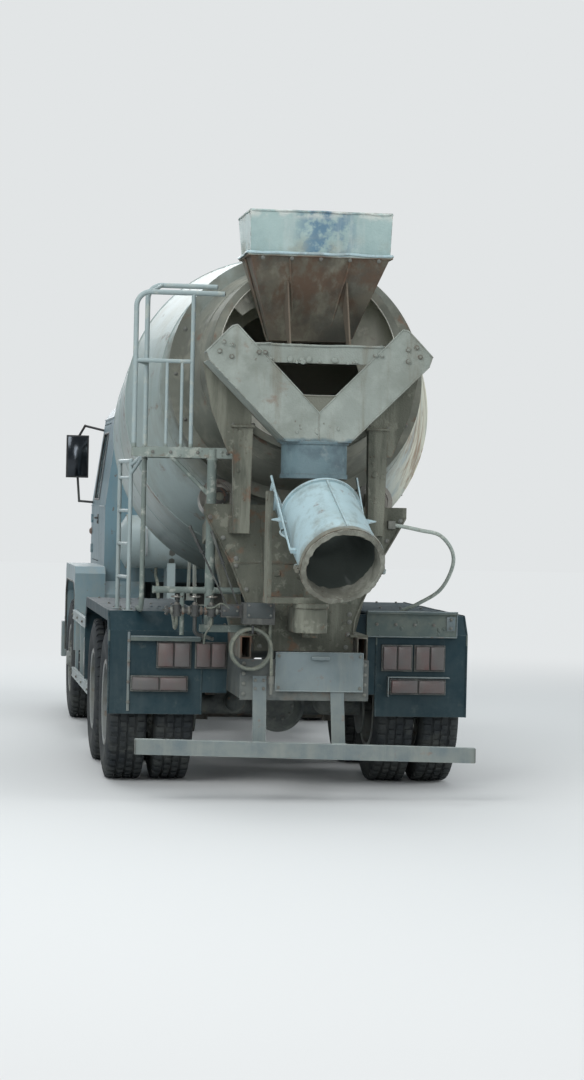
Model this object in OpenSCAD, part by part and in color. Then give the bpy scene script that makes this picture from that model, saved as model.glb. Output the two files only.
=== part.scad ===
// Rigid three-axle concrete mixer truck.
// Front at -Y, rear at +Y, the truck's left side at +X, ground at Z = 0.
// The origin lies on the ground, midway between the front bumper and the chute's tip.

/* [Layout] */
// Distance from the origin forward to the front axle
front_axle_from_origin = 3050; // [2800:10:3300]
// Front axle to first rear axle
wheelbase = 3850; // [3500:10:4500]
// First rear axle to last axle
bogie_spread = 1350; // [1250:10:1450]
// Front axle to the bumper's face
front_overhang = 1450; // [1350:10:1550]
// Last axle to the end of the frame
rear_overhang = 1350; // [1300:10:1400]
// Width over the rear mudguards
overall_w = 2500; // [2450:10:2550]

/* [Frame] */
// Height of the frame's top face
frame_top = 930; // [900:5:980]
// Height of a frame rail
frame_h = 260; // [220:5:280]
// Width over the two frame rails
frame_w = 860; // [780:10:880]
// Width of a rail's flange
rail_flange = 80; // [60:5:90]
// Thickness of the rail's steel
rail_t = 8; // [6:1:12]
// Height of the mixer's subframe
subframe_h = 150; // [120:5:170]

/* [Wheels] */
// Radius of a tyre
tyre_r = 530; // [510:5:545]
// Width of a tyre
tyre_w = 280; // [260:5:290]
// Radius of the tyre's seat on the rim
rim_r = 286; // [280:1:295]
// Width of a rim between its flanges
rim_w = 230; // [210:5:240]
// Distance between the middles of the front tyres
front_track = 2100; // [2050:10:2120]
// Distance between the middles of the outer rear tyres
rear_track = 2190; // [2170:5:2200]
// Distance between the middles of twin tyres
twin_pitch = 320; // [310:5:330]
// Distance of each kingpin from the middle
kingpin_x = 880; // [860:5:900]

/* [Drum] */
// Slope of the drum's axis, in degrees
drum_slope = 10.5; // [10:0.5:14]
// Height of the mouth's centre
mouth_z = 2940; // [2900:5:2960]
// Last axle to the mouth's centre
mouth_behind_axle = 1220; // [1200:5:1230]
// Radius of the mouth
mouth_r = 600; // [580:5:610]
// Largest radius of the drum
drum_r = 1100; // [1060:5:1130]
// Length of the rear cone along the axis
rear_cone = 1550; // [1500:10:1600]
// Length of the drum's cylinder
drum_cyl = 1100; // [1000:10:1200]
// Length of the front cone
front_cone = 1200; // [1100:10:1250]
// Thickness of the drum's shell
drum_t = 8; // [6:1:12]
// Radius of the roller track
track_r = 880; // [860:5:900]
// Width of the roller track
track_w = 110; // [90:5:130]
// Mouth to the near edge of the roller track
track_from_mouth = 600; // [560:10:640]
// Radius of a support roller
roller_r = 130; // [110:5:140]

/* [Hopper and chute] */
// Height of the charge hopper's rim
hopper_top = 3860; // [3840:10:3900]
// Half width of the hopper's collar
hopper_half = 466; // [440:5:500]
// Thickness of the hopper's plate
hopper_t = 8; // [5:1:12]
// Thickness of the collector's plates
collector_t = 8; // [6:1:12]
// Radius of the collector's outlet
outlet_r = 215; // [200:5:220]
// Last axle to the chute's swing axis
chute_behind_axle = 1570; // [1550:5:1600]
// Outer radius of the chute
chute_r = 258; // [250:2:270]
// Length of the closed part of the chute
chute_len = 620; // [560:10:660]
// Thickness of the chute's steel
chute_t = 6; // [5:1:10]
// Slope of the chute below level at rest, in degrees
chute_slope = 31; // [28:1:34]
// Turn of the chute to the truck's right at rest, in degrees
chute_turn = 8; // [0:1:12]

/* [Cab] */
// Half width of the cab below its windows
cab_half = 925; // [900:5:940]
// Height of the roof
roof_z = 2850; // [2800:10:2900]
// Height of the cab's underside
cab_floor = 1240; // [1230:5:1260]
// Length of the cab
cab_len = 1880; // [1850:10:1900]
// Thickness of the cab's walls and doors
cab_wall = 40; // [30:5:50]
// Gap round a door
door_gap = 8; // [6:1:12]

/* [Rear] */
// Height of the mudguards' top
guard_top = 1200; // [1170:5:1230]
// Height of the mudguards' lower edge
guard_low = 500; // [450:10:600]
// Half length of the underride bar
bar_half = 1127; // [1000:5:1200]
// Height of the underride bar's middle
bar_z = 340; // [300:5:420]
// Height of the work platform
platform_z = 2320; // [2280:10:2360]
// Height of the hand rails
rail_top = 3390; // [3300:10:3450]

/* [Hidden] */
$fn = 48;
pipe_fn = 20;
fit_gap = 0.3;
bearing_gap = 0.05;
eps = 1;

front_axle_y = -front_axle_from_origin;
axle2_y = front_axle_y + wheelbase;
axle3_y = axle2_y + bogie_spread;
frame_end = axle3_y + rear_overhang;
bumper_y = front_axle_y - front_overhang;
frame_low = frame_top - frame_h;
subframe_top = frame_top + subframe_h;
frame_front = bumper_y + 160;

// Front wheel centre, wheel spindle and hub
front_wheel_x = front_track / 2;
rear_outer_x = rear_track / 2;
rear_mid_x = rear_outer_x - twin_pitch / 2;
spindle_r = 45;
kingpin_r = 24;

// Drum frame: the mouth's centre, then distances forward along the axis
mouth_y = axle3_y + mouth_behind_axle;
drum_len = rear_cone + drum_cyl + front_cone;
drum_nose = 400;
nose_r = 230;
front_r = 620;
shaft_r = 70;
shaft_len = 90;
gearbox_from_nose = 35;
track_mid = track_from_mouth + track_w / 2;
roller_angle = 32;
roller_reach = track_r + roller_r + fit_gap;
roller_shaft_r = 30;

// Chute frame
chute_axis_y = axle3_y + chute_behind_axle;
outlet_low = 2125;
outlet_high = 2370;
lift_z = 1995;
// The collector's floor rises at 45 degrees from the throat
throat_half = 218;
floor_rise = outlet_high - throat_half - 0.43;

// Cab stations
cab_front = bumper_y + 70;
cab_rear = cab_front + cab_len;
door_front = bumper_y + 290;
door_len = 860;
door_low = 1395;
door_high = 2660;

// Shared shapes

function unit(v) = v / norm(v);
function left_of(v) = [-v[1], v[0]];

// Point i of an open line, moved to its left by d, with mitred corners
function moved(p, i, d) =
    let (a = i > 0 ? unit(p[i] - p[i - 1]) : unit(p[1] - p[0]),
         b = i < len(p) - 1 ? unit(p[i + 1] - p[i]) : unit(p[i] - p[i - 1]),
         n = unit(left_of(a) + left_of(b)))
    p[i] + n * d / (n * left_of(a));

// A bent sheet: an open line with thickness t to its left
function sheet(p, t) = concat(p, [for (i = [len(p) - 1:-1:0]) moved(p, i, t)]);

// A closed convex outline, counter-clockwise, drawn in by d
function inset(p, d) =
    let (n = len(p))
    [for (i = [0:n - 1])
        let (a = unit(p[i] - p[(i + n - 1) % n]), b = unit(p[(i + 1) % n] - p[i]),
            m = unit(left_of(a) + left_of(b)))
        p[i] + m * d / (m * left_of(a))];

module both_sides() {
    children();
    mirror([1, 0, 0]) children();
}

module block(lo, hi) {
    translate(lo) cube(hi - lo);
}

// An outline in Y and Z, pushed along X from x0 to x1
module side_plate(p, x0, x1) {
    translate([x0, 0, 0]) rotate([90, 0, 90]) linear_extrude(x1 - x0) polygon(p);
}

// An outline in X and Z, pushed along Y from y0 to y1
module front_plate(p, y0, y1) {
    translate([0, y1, 0]) rotate([90, 0, 0]) linear_extrude(y1 - y0) polygon(p);
}

// A round bar between two points
module rod(a, b, r) {
    v = b - a;
    translate(a) rotate([0, acos(v[2] / norm(v)), atan2(v[1], v[0])])
        cylinder(r = r, h = norm(v), $fn = pipe_fn);
}

// A bent pipe through a list of points, with round elbows
module pipe(points, r) {
    for (i = [0:len(points) - 2]) rod(points[i], points[i + 1], r);
    for (i = [1:max(1, len(points) - 2)]) if (i < len(points) - 1) translate(points[i])
        sphere(r = r + 1.5, $fn = pipe_fn);
}

// A bent pipe through a list of points, with bends of radius bend
module bent_pipe(points, r, bend) {
    n = len(points) - 1;
    ways = [for (i = [0:n - 1]) unit(points[i + 1] - points[i])];
    cuts = [for (i = [0:n]) i == 0 || i == n ? 0 : bend * tan(acos(ways[i - 1] * ways[i]) / 2)];
    overlap = 5;
    for (i = [0:n - 1])
        rod(points[i] + ways[i] * max(0, cuts[i] - overlap),
            points[i + 1] - ways[i] * max(0, cuts[i + 1] - overlap), r);
    for (i = [1:n - 1]) {
        a = ways[i - 1];
        inward = unit(ways[i] - a * (a * ways[i]));
        c = points[i] - a * cuts[i] + inward * bend;
        w = cross(-inward, a);
        multmatrix([[-inward[0], a[0], w[0], c[0]], [-inward[1], a[1], w[1], c[1]],
            [-inward[2], a[2], w[2], c[2]], [0, 0, 0, 1]])
            rotate_extrude(angle = acos(a * ways[i])) translate([bend, 0]) circle(r = r + 0.4, $fn = pipe_fn);
    }
}

module along_x(x) {
    translate([x, 0, 0]) rotate([0, 90, 0]) children();
}

// Drum coordinates: Z runs forward along the axis from the mouth, Y points up and back
module in_drum() {
    translate([0, mouth_y, mouth_z]) rotate([90 + drum_slope, 0, 0]) children();
}

// Frame and running gear

module frame_rail(x0, w, h, t, y0, y1, z0) {
    // a channel, open towards the truck's middle
    translate([x0, y1, z0]) rotate([90, 0, 0]) linear_extrude(y1 - y0)
        polygon([[0, 0], [w, 0], [w, h], [0, h], [0, h - t], [w - t, h - t], [w - t, t], [0, t]]);
}

tow_y = bumper_y + 110;
tow_low = 575;
tow_high = 705;
tow_ear = 25;
tow_r = 20.5;

module chassis_frame() {
    color("#2b2f33") {
        both_sides() frame_rail(frame_w / 2 - rail_flange, rail_flange, frame_h, rail_t, frame_front,
            frame_end, frame_low);
        // tubular cross members between the webs
        for (y = [frame_front + 120, front_axle_y + 1420, axle2_y - 700, axle3_y + 420])
            translate([-frame_w / 2 + rail_t, y, frame_low + frame_h / 2]) rotate([0, 90, 0])
                cylinder(r = 60, h = frame_w - 2 * rail_t);
        // cab mounts
        both_sides() for (y = [cab_front + 200, cab_rear - 260])
            block([frame_w / 2 - 60, y, frame_top - eps], [frame_w / 2 - 10, y + 80, cab_floor - fit_gap]);
        // towing jaw behind the bumper's opening, with a vertical pin bore through both ears
        difference() {
            union() {
                for (z = [tow_low, tow_high - tow_ear])
                    block([-60, tow_y - 46, z], [60, frame_front + 111, z + tow_ear]);
                block([-75, frame_front + 110, tow_low], [75, frame_front + 130, frame_low + frame_h / 2]);
            }
            translate([0, tow_y, tow_low - eps]) cylinder(r = tow_r, h = tow_high - tow_low + 2 * eps);
        }
        // rear cross member
        block([-frame_w / 2, frame_end, frame_low - 10], [frame_w / 2, frame_end + 10, frame_top]);
        block([-frame_w / 2 + rail_t, frame_end - 60, frame_low + 20],
            [frame_w / 2 - rail_t, frame_end + eps, frame_low + 60]);
    }
}

module mixer_subframe() {
    rail_w = 70;
    color("#6f6c64") {
        both_sides() difference() {
            block([frame_w / 2 - rail_w - 5, cab_rear + 180, frame_top],
                [frame_w / 2 - 5, frame_end - 20, subframe_top]);
            block([frame_w / 2 - rail_w + 3, cab_rear + 180 - eps, frame_top + 8],
                  [frame_w / 2 - 13, frame_end, subframe_top - 8]);
        }
        for (y = [cab_rear + 260, axle2_y - 850, axle2_y + 100, axle3_y - 100])
            block([-frame_w / 2 + rail_w, y, frame_top + 30],
                [frame_w / 2 - rail_w, y + 80, subframe_top - 30]);
    }
}

module engine() {
    color("#3c3f41") {
        block([-300, front_axle_y - 700, frame_low - 90], [300, front_axle_y + 450, cab_floor - 60]);
        // feet in the frame's channels
        both_sides() for (y = [front_axle_y - 600, front_axle_y + 280])
            block([300 - eps, y, frame_low + 90], [frame_w / 2 - rail_t - fit_gap, y + 80, frame_low + 130]);
    }
}

axle_z = tyre_r;
beam_drop = 100;
axle_tube_r = 72;

module front_axle() {
    beam = [[-kingpin_x + 30, 40], [-kingpin_x + 170, 30], [-kingpin_x + 300, 40 - beam_drop],
        [kingpin_x - 300, 40 - beam_drop], [kingpin_x - 170, 30], [kingpin_x - 30, 40],
        [kingpin_x - 30, -40], [kingpin_x - 150, -50], [kingpin_x - 290, -50 - beam_drop],
        [-kingpin_x + 290, -50 - beam_drop], [-kingpin_x + 150, -50], [-kingpin_x + 30, -40]];
    pocket = [[-kingpin_x + 320, 20 - beam_drop], [-kingpin_x + 320, -30 - beam_drop],
        [kingpin_x - 320, -30 - beam_drop], [kingpin_x - 320, 20 - beam_drop]];
    color("#2b2f33") difference() {
        translate([0, front_axle_y, axle_z]) {
            difference() {
                front_plate(beam, -45, 45);
                front_plate(pocket, -50, -15);
                front_plate(pocket, 15, 50);
            }
            // kingpin bosses
            both_sides() translate([kingpin_x, 0, -55]) cylinder(r = 48, h = 110);
            // spring seats
            both_sides() block([frame_w / 2 - 90, -70, 30 - beam_drop],
                [frame_w / 2 + 10, 70, 70 - beam_drop]);
        }
        both_sides() translate([kingpin_x, front_axle_y, axle_z - 60])
            cylinder(r = kingpin_r + bearing_gap, h = 120);
    }
}

module knuckle() {
    arm_y = 240;
    color("#2b2f33") translate([0, front_axle_y, axle_z]) {
        // yoke ears above and below the boss, with the kingpin through both
        for (z = [-105, 60]) translate([kingpin_x, 0, z]) cylinder(r = 46, h = 45);
        translate([kingpin_x, 0, -100]) cylinder(r = kingpin_r, h = 200);
        block([kingpin_x + 54, -46, -105], [kingpin_x + 84, 46, 105]);
        for (z = [-105, 60]) block([kingpin_x, -46, z], [kingpin_x + 64, 46, z + 45]);
        // spindle, and brake back plate
        along_x(kingpin_x + 64) cylinder(r = spindle_r, h = front_wheel_x + 40 - kingpin_x - 64);
        along_x(kingpin_x + 80) cylinder(r = 190, h = 10);
        // steering arm
        side_arm = [[kingpin_x - 30, 0], [kingpin_x + 30, 0], [kingpin_x + 24, arm_y + 6],
            [kingpin_x - 24, arm_y + 6]];
        difference() {
            translate([0, 0, -100]) linear_extrude(24) polygon(side_arm);
            translate([kingpin_x, arm_y - 20, -120]) cylinder(r = 12 + bearing_gap, h = 60, $fn = pipe_fn);
        }
    }
}

module tie_rod() {
    arm_y = 240;
    color("#3c3f41") translate([0, front_axle_y + arm_y - 20, axle_z]) {
        rod([-kingpin_x, 0, -125], [kingpin_x, 0, -125], 17);
        both_sides() translate([kingpin_x, 0, -144]) cylinder(r = 23, h = 38, $fn = pipe_fn);
        both_sides() translate([kingpin_x, 0, -110]) cylinder(r = 12, h = 36, $fn = pipe_fn);
    }
}

module rear_axles() {
    tube_half = rear_mid_x - 330;
    color("#2b2f33") for (y = [axle2_y, axle3_y]) translate([0, y, axle_z]) {
        along_x(-tube_half) cylinder(r = axle_tube_r, h = 2 * tube_half);
        along_x(-rear_outer_x + 20) cylinder(r = spindle_r, h = 2 * (rear_outer_x - 20));
        both_sides() along_x(tube_half - 14) cylinder(r = 200, h = 14);
        // differential housing with its cover and nose
        translate([0, 90, 0]) rotate([90, 0, 0]) cylinder(r = 190, h = 170);
        translate([0, 130, 0]) rotate([90, 0, 0]) cylinder(r1 = 110, r2 = 170, h = 41);
        translate([0, -79, 0]) rotate([90, 0, 0]) cylinder(r1 = 150, r2 = 75, h = y == axle2_y ? 142.7 : 171);
    }
}

leaf_steps = 6;
rear_camber = 60;

// Leaves of one spring: half length, and how many thicknesses it lies from the main leaf
module leaf_pack(halves, camber, w, t, bend) {
    for (i = [0:len(halves) - 1]) {
        h = halves[i];
        line = [for (k = [-leaf_steps:leaf_steps]) let (s = h * k / leaf_steps) [s,
            bend * camber * (s * s) / (halves[0] * halves[0]) - bend * i * t]];
        side_plate(sheet(line, t - 1), -w / 2, w / 2);
    }
}

module leaf_springs() {
    w = 76;
    t = 15;
    x = frame_w / 2 - 40;
    x2 = frame_w / 2 + 52;
    mid = (axle2_y + axle3_y) / 2;
    front_halves = [700, 690, 560, 430, 300];
    rear_halves = [bogie_spread / 2 + 60, bogie_spread / 2 + 50, 600, 480, 360, 240];
    front_z = axle_z + 70 - beam_drop + fit_gap + t * (len(front_halves) - 1);
    // the bogie spring's lower face is tilted where it lies on an axle, and its chords sag a little
    seat = bogie_spread / 2 / rear_halves[0];
    leaf_tilt = atan(2 * rear_camber * seat / rear_halves[0]);
    rear_z = axle_z + (axle_tube_r + fit_gap) / cos(leaf_tilt) + rear_camber
        * (pow(seat, 2) + 0.25 / pow(leaf_steps, 2));
    color("#33302c") both_sides() {
        translate([x, front_axle_y, front_z]) leaf_pack(front_halves, 90, w, t, 1);
        block([x - w / 2 - 4, front_axle_y - 45, front_z - 4 * t],
            [x + w / 2 + 4, front_axle_y + 45, front_z + t + 8]);
        // hangers at the ends of the front springs
        for (s = [-1, 1]) block([x - w / 2, front_axle_y + s * 685 - 25, front_z + 60],
            [x + w / 2, front_axle_y + s * 685 + 25, frame_low - fit_gap]);
        // bogie spring outside the frame: its ends lie on the axles, its middle on the trunnion
        translate([x2, mid, rear_z]) leaf_pack(rear_halves, rear_camber, w, t, -1);
        block([x2 - w / 2 - 4, mid - 60, rear_z - 2], [x2 + w / 2 + 4, mid + 60, rear_z + 6 * t + 8]);
        block([x2 - w / 2, mid - 110, axle_z - 160], [x2 + w / 2, mid + 110, rear_z]);
        block([frame_w / 2 + fit_gap, mid - 130, axle_z - 160],
            [x2 - w / 2 + eps, mid + 130, frame_top - 140]);
        translate([0, mid, axle_z - 110]) rotate([0, 90, 0]) cylinder(r = 40, h = x2);
    }
}

module prop_shafts() {
    a = [0, front_axle_y + 1300, frame_low - 20];
    b = [0, axle2_y - 230, axle_z + 10];
    c = [0, axle2_y + 190, axle_z];
    d = [0, axle3_y - 250 - fit_gap - 8, axle_z];
    color("#3c3f41") {
        rod(a, b, 45);
        rod(c, d, 40);
        for (p = [a, b, c, d]) translate(p) rotate([90, 0, 0]) cylinder(r = 62, h = 16, center = true);
        // gearbox on the engine's rear face
        block([-160, front_axle_y + 450 + fit_gap, frame_low - 90],
            [160, front_axle_y + 1296, frame_low + 150]);
    }
}

// Wheels

// One tyre about Z, its middle at Z = 0
module tyre_solid() {
    h = tyre_w / 2;
    bead = rim_w / 2 - fit_gap;
    side = [[rim_r, bead - 6], [rim_r + 30, bead + 4], [rim_r + 90, h - 4], [(rim_r + tyre_r) / 2 + 20, h],
            [tyre_r - 60, h - 8], [tyre_r - 22, h - 18], [tyre_r - 6, h - 34], [tyre_r - 2, h - 60]];
    lower = [for (i = [len(side) - 1:-1:0]) [side[i][0], -side[i][1]]];
    wall = (rim_r + tyre_r) / 2;
    cavity = [[rim_r, bead - 40], [rim_r + 60, bead - 18], [wall, h - 26], [tyre_r - 50, h - 50],
        [tyre_r - 50, -h + 50], [wall, -h + 26], [rim_r + 60, -bead + 18], [rim_r, -bead + 40]];
    rotate_extrude($fn = 64) polygon(concat(side, [[tyre_r, h - 80], [tyre_r, -h + 80]], lower,
        [for (i = [len(cavity) - 1:-1:0]) cavity[i]]));
}

// A rim's barrel about Z, its middle at Z = 0, as radius and height
module rim_barrel() {
    w = rim_w / 2;
    seat = rim_r - fit_gap;
    rotate_extrude($fn = 64) polygon([[seat - 18, -w - 8], [seat + 18, -w - 8], [seat + 18, -w],
        [seat, -w], [seat, w], [seat + 18, w], [seat + 18, w + 8], [seat - 18, w + 8],
        [seat - 12, w - 20], [seat - 26, 0], [seat - 12, -w + 20]]);
}

module hand_holes(count, r, at) {
    for (i = [0:count - 1]) rotate([0, 0, (i + 0.5) * 360 / count]) translate([at, 0, -200])
        cylinder(r = r, h = 400, $fn = 24);
}

// Steer rim: the disc bulges out from the barrel
module front_rim() {
    seat = rim_r - fit_gap;
    color("#8d9093") difference() {
        union() {
            rim_barrel();
            rotate_extrude($fn = 64) polygon([[90, 92], [90, 80], [170, 80], [235, 30], [seat - 22, 10],
                [seat - 22, 26], [240, 44], [176, 92]]);
            // hub with its cap
            translate([0, 0, -30]) cylinder(r = 95, h = 160);
            translate([0, 0, 130]) cylinder(r1 = 70, r2 = 60, h = 30);
        }
        translate([0, 0, -31]) cylinder(r = spindle_r + bearing_gap, h = 31 + 41);
        hand_holes(10, 22, 212);
    }
}

// Twin rims back to back on one hub, the middle between the tyres at Z = 0
module twin_rims() {
    seat = rim_r - fit_gap;
    color("#8d9093") difference() {
        union() {
            for (s = [-1, 1]) translate([0, 0, s * twin_pitch / 2]) rim_barrel();
            for (s = [0, 1]) mirror([0, 0, s])
                rotate_extrude($fn = 64) polygon([[90, 0], [175, 0], [236, 36], [seat - 6, 58],
                    [seat - 6, 74], [228, 52], [170, 14], [90, 14]]);
            translate([0, 0, -170]) cylinder(r = 110, h = 310);
            translate([0, 0, 140]) cylinder(r1 = 84, r2 = 76, h = 50);
        }
        translate([0, 0, -171]) cylinder(r = spindle_r + bearing_gap, h = 171 + twin_pitch / 2 - 19);
        hand_holes(10, 24, 205);
    }
}

// side is 1 on the left and -1 on the right
module at_wheel(side, x, y) {
    translate([side * x, y, axle_z]) rotate([0, side * 90, 0]) children();
}

module front_tyre(side) {
    color("#1d1d1e") at_wheel(side, front_wheel_x, front_axle_y) tyre_solid();
}

module twin_tyres(side, y) {
    color("#1d1d1e") for (s = [-1, 1]) at_wheel(side, rear_mid_x + s * twin_pitch / 2, y) tyre_solid();
}

// Cab

// Section half widths by height, and the side outline
cab_section = [[-cab_half, cab_floor], [cab_half, cab_floor], [cab_half, 1900],
    [cab_half - 100, roof_z - 150],
               [cab_half - 155, roof_z - 50], [cab_half - 380, roof_z], [-cab_half + 380, roof_z],
                   [-cab_half + 155, roof_z - 50],
               [-cab_half + 100, roof_z - 150], [-cab_half, 1900]];
cab_side = [[cab_front, cab_floor], [cab_rear, cab_floor], [cab_rear, roof_z - 80],
    [cab_rear - 90, roof_z + 5],
            [cab_front + 420, roof_z + 5], [cab_front + 230, roof_z - 110], [cab_front, 1900]];

// The cab's body drawn in by d on every face
module cab_body(d) {
    intersection() {
        front_plate(inset(cab_section, d), cab_front - 200, cab_rear + 200);
        side_plate(inset(cab_side, d), -cab_half - 100, cab_half + 100);
    }
}

// Door outline in Y and Z, drawn in by g
module door_prism(g, back) {
    block([400, door_front + g, door_low + g], [cab_half + 200, door_front + door_len - back, door_high - g]);
}

module door_window(g) {
    side_plate([[door_front + 90 + g, 1960 + g], [door_front + door_len - 90 - g, 1960 + g],
                [door_front + door_len - 90 - g, 2570 - g], [door_front + 170 + g, 2570 - g],
                [door_front + 90 + g, 2330]], 400, cab_half + 200);
}

module windscreen_prism(g) {
    front_plate([[-780 + g, 1960 + g], [780 - g, 1960 + g], [700 - g, 2610 - g], [-700 + g, 2610 - g]],
        cab_front - 200, cab_front + 500);
}

module rear_window_prism(g) {
    front_plate([[-380 + g, 2060 + g], [380 - g, 2060 + g], [380 - g, 2450 - g], [-380 + g, 2450 - g]],
        cab_rear - 300, cab_rear + 200);
}

// Each door turns on two hinges: a knuckle of the door between two knuckles of the shell
hinge_x = cab_half + 8;
hinge_y = door_front + door_gap / 2;
hinge_r = 11;
hinge_pin_r = 5;
hinge_h = 40;
hinge_levels = [1480, 1760];

module at_hinges() {
    for (z = hinge_levels) translate([hinge_x, hinge_y, z]) children();
}

module hinge_pockets() {
    at_hinges() translate([0, 0, -hinge_h / 2 - 5]) cylinder(r = hinge_r + 3, h = 2 * hinge_h + 10);
}

// One knuckle from z up, with its strap on the panel, ahead of the axis (-1) or behind it (1)
module hinge_leaf(z, h, side) {
    translate([0, 0, z]) cylinder(r = hinge_r, h = h);
    block([-9, min(0, side * 70), z + 2], [-3, max(0, side * 70), z + h - 2]);
}

module cab_shell() {
    color("#b9cdd2") {
        difference() {
            cab_body(0);
            cab_body(cab_wall);
            both_sides() door_prism(0, 0);
            windscreen_prism(0);
            rear_window_prism(0);
            both_sides() hinge_pockets();
        }
        both_sides() at_hinges() {
            hinge_leaf(-hinge_h / 2, hinge_h / 2 - fit_gap, -1);
            hinge_leaf(hinge_h + fit_gap, hinge_h / 2 - fit_gap, -1);
            translate([0, 0, -eps]) cylinder(r = hinge_pin_r, h = hinge_h + 2 * eps, $fn = pipe_fn);
        }
    }
}

module door() {
    color("#b9cdd2") {
        difference() {
            intersection() {
                difference() {
                    cab_body(0);
                    cab_body(cab_wall);
                }
                door_prism(door_gap, door_gap + 6);
            }
            door_window(0);
            hinge_pockets();
        }
        at_hinges() difference() {
            hinge_leaf(0, hinge_h, 1);
            translate([0, 0, -eps]) cylinder(r = hinge_pin_r + bearing_gap, h = hinge_h + 2 * eps,
                $fn = pipe_fn);
        }
    }
}

module glass_skin() {
    difference() {
        cab_body(14);
        cab_body(20);
    }
}

module cab_glass() {
    color("#9fb4bb") intersection() {
        glass_skin();
        union() {
            windscreen_prism(fit_gap);
            rear_window_prism(fit_gap);
        }
    }
}

module door_glass() {
    color("#9fb4bb") intersection() {
        glass_skin();
        door_window(fit_gap);
    }
}

module cab_interior() {
    floor_z = cab_floor + cab_wall + fit_gap;
    color("#3a3b3d") {
        for (x = [-520, 520]) translate([x, 0, 0]) {
            block([-230, cab_rear - 800, floor_z], [230, cab_rear - 380, floor_z + 300]);
            block([-240, cab_rear - 850, floor_z + 300], [240, cab_rear - 330, floor_z + 420]);
            side_plate([[cab_rear - 420, floor_z + 420], [cab_rear - 300, floor_z + 420],
                [cab_rear - 180, floor_z + 1000], [cab_rear - 270, floor_z + 1000]], -230, 230);
        }
        // dashboard
        side_plate([[cab_front + 60, floor_z], [cab_front + 200, floor_z],
            [cab_front + 360, floor_z + 440], [cab_front + 330, floor_z + 620],
            [cab_front + 60, floor_z + 620]], -cab_half + 60, cab_half - 60);
        // steering wheel, on the left
        translate([520, cab_front + 480, floor_z + 640]) rotate([-35, 0, 0]) {
            rotate_extrude() translate([220, 0]) circle(r = 14, $fn = 16);
            for (a = [90, 210, 330]) rotate([0, 0, a]) rod([0, 0, 0], [220, 0, 0], 11);
            rod([0, 0, 0], [0, 0, -360], 24);
        }
    }
}

module grille() {
    y = cab_front - fit_gap;
    color("#4a5054") {
        difference() {
            block([-760, y - 26, 1330], [760, y, 1700]);
            block([-730, y - 40, 1360], [730, y + 20, 1670]);
        }
        for (i = [0:5]) block([-740, y - 20, 1375 + i * 50], [740, y - 6, 1375 + i * 50 + 22]);
    }
}

module front_bumper() {
    low = 470;
    high = 800;
    outline = [[-1190, bumper_y + 220], [-1190, bumper_y + 90], [-1090, bumper_y],
        [1090, bumper_y], [1190, bumper_y + 90], [1190, bumper_y + 220],
        [1150, bumper_y + 220], [1150, bumper_y + 110], [1070, bumper_y + 40],
        [-1070, bumper_y + 40], [-1150, bumper_y + 110], [-1150, bumper_y + 220]];
    color("#8f9ba0") {
        difference() {
            translate([0, 0, low]) linear_extrude(high - low) polygon(outline);
            both_sides() block([760, bumper_y - 50, low + 110], [1060, bumper_y + 60, low + 250]);
            block([-420, bumper_y - 50, low + 120], [420, bumper_y + 60, low + 220]);
        }
        // brackets to the frame, and the valance up to the cab
        both_sides() block([frame_w / 2 - 70, bumper_y + 30, frame_low + 20],
            [frame_w / 2, frame_front - fit_gap, frame_low + 110]);
        both_sides() block([frame_w / 2 - 70, bumper_y + 30, frame_low + 20],
            [frame_w / 2 - 10, bumper_y + 74, high + 6]);
        front_plate([[-cab_half, high], [cab_half, high], [cab_half, cab_floor - 6],
            [-cab_half, cab_floor - 6]], bumper_y + 60, bumper_y + 74);
        block([-cab_half, bumper_y + 35, high - 20], [cab_half, bumper_y + 74, high + 6]);
    }
}

module headlamps() {
    color("#d8dde0") both_sides() {
        block([760 + fit_gap, bumper_y + 4, 580 + fit_gap], [1060 - fit_gap, bumper_y + 34, 720 - fit_gap]);
        block([790, bumper_y + 34, 860], [890, bumper_y + 60 - fit_gap, 940]);
    }
}

// Wheel arch outline round the front wheel, as Y and Z from the axle
arch = [[-690, 620], [-690, 1130], [-560, cab_floor - fit_gap], [560, cab_floor - fit_gap], [690, 1130],
    [690, 640]];

module front_fenders() {
    shell = [for (p = arch) [front_axle_y + p[0], p[1]]];
    top = cab_floor + 130;
    color("#b9cdd2") both_sides() {
        // inner arch, a bent sheet under the cab
        side_plate(sheet(shell, -10), 600, cab_half + 1);
        // outer fender, a box over the arch
        difference() {
            side_plate([[front_axle_y - 720, 560], [front_axle_y - 720, top - 60],
                [front_axle_y - 660, top], [front_axle_y + 660, top], [front_axle_y + 720, top - 60],
                [front_axle_y + 720, 640], [front_axle_y + 660, 640], [front_axle_y - 660, 560]],
                cab_half + fit_gap, 1190);
            side_plate(concat([[front_axle_y - 680, 500]], [for (i = [1:4]) let (p = shell[i])
                p + [i < 3 ? 10 : -10, -10]], [[front_axle_y + 680, 500]]), cab_half - 20, 1300);
        }
        // steps ahead of the wheel
        for (s = [[500, 60], [820, 0]])
            block([cab_half - 60, bumper_y + 240, s[0]], [1170 - s[1] / 2, front_axle_y - 730, s[0] + 30]);
        block([cab_half - 60, bumper_y + 240, 500], [cab_half - 40, front_axle_y - 730, cab_floor - 6]);
        block([cab_half - 45, front_axle_y - 745, 500], [1165, front_axle_y - 719, 1100]);
    }
}

module mirrors() {
    y = door_front - 70;
    color("#151617") both_sides() {
        block([cab_half + 50, y - 30, 2160], [cab_half + 260, y + 20, 2560]);
        difference() {
            union() {
                pipe([[cab_half - 130, door_front - 18, 2600], [cab_half + 90, y + 30, 2650],
                    [cab_half + 150, y - 5, 2540]], 11);
                pipe([[cab_half - 30, y - 10, 1930], [cab_half + 130, y - 10, 1940],
                    [cab_half + 150, y - 5, 2180]], 11);
            }
            cab_body(-fit_gap);
        }
    }
}

// Side equipment

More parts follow.
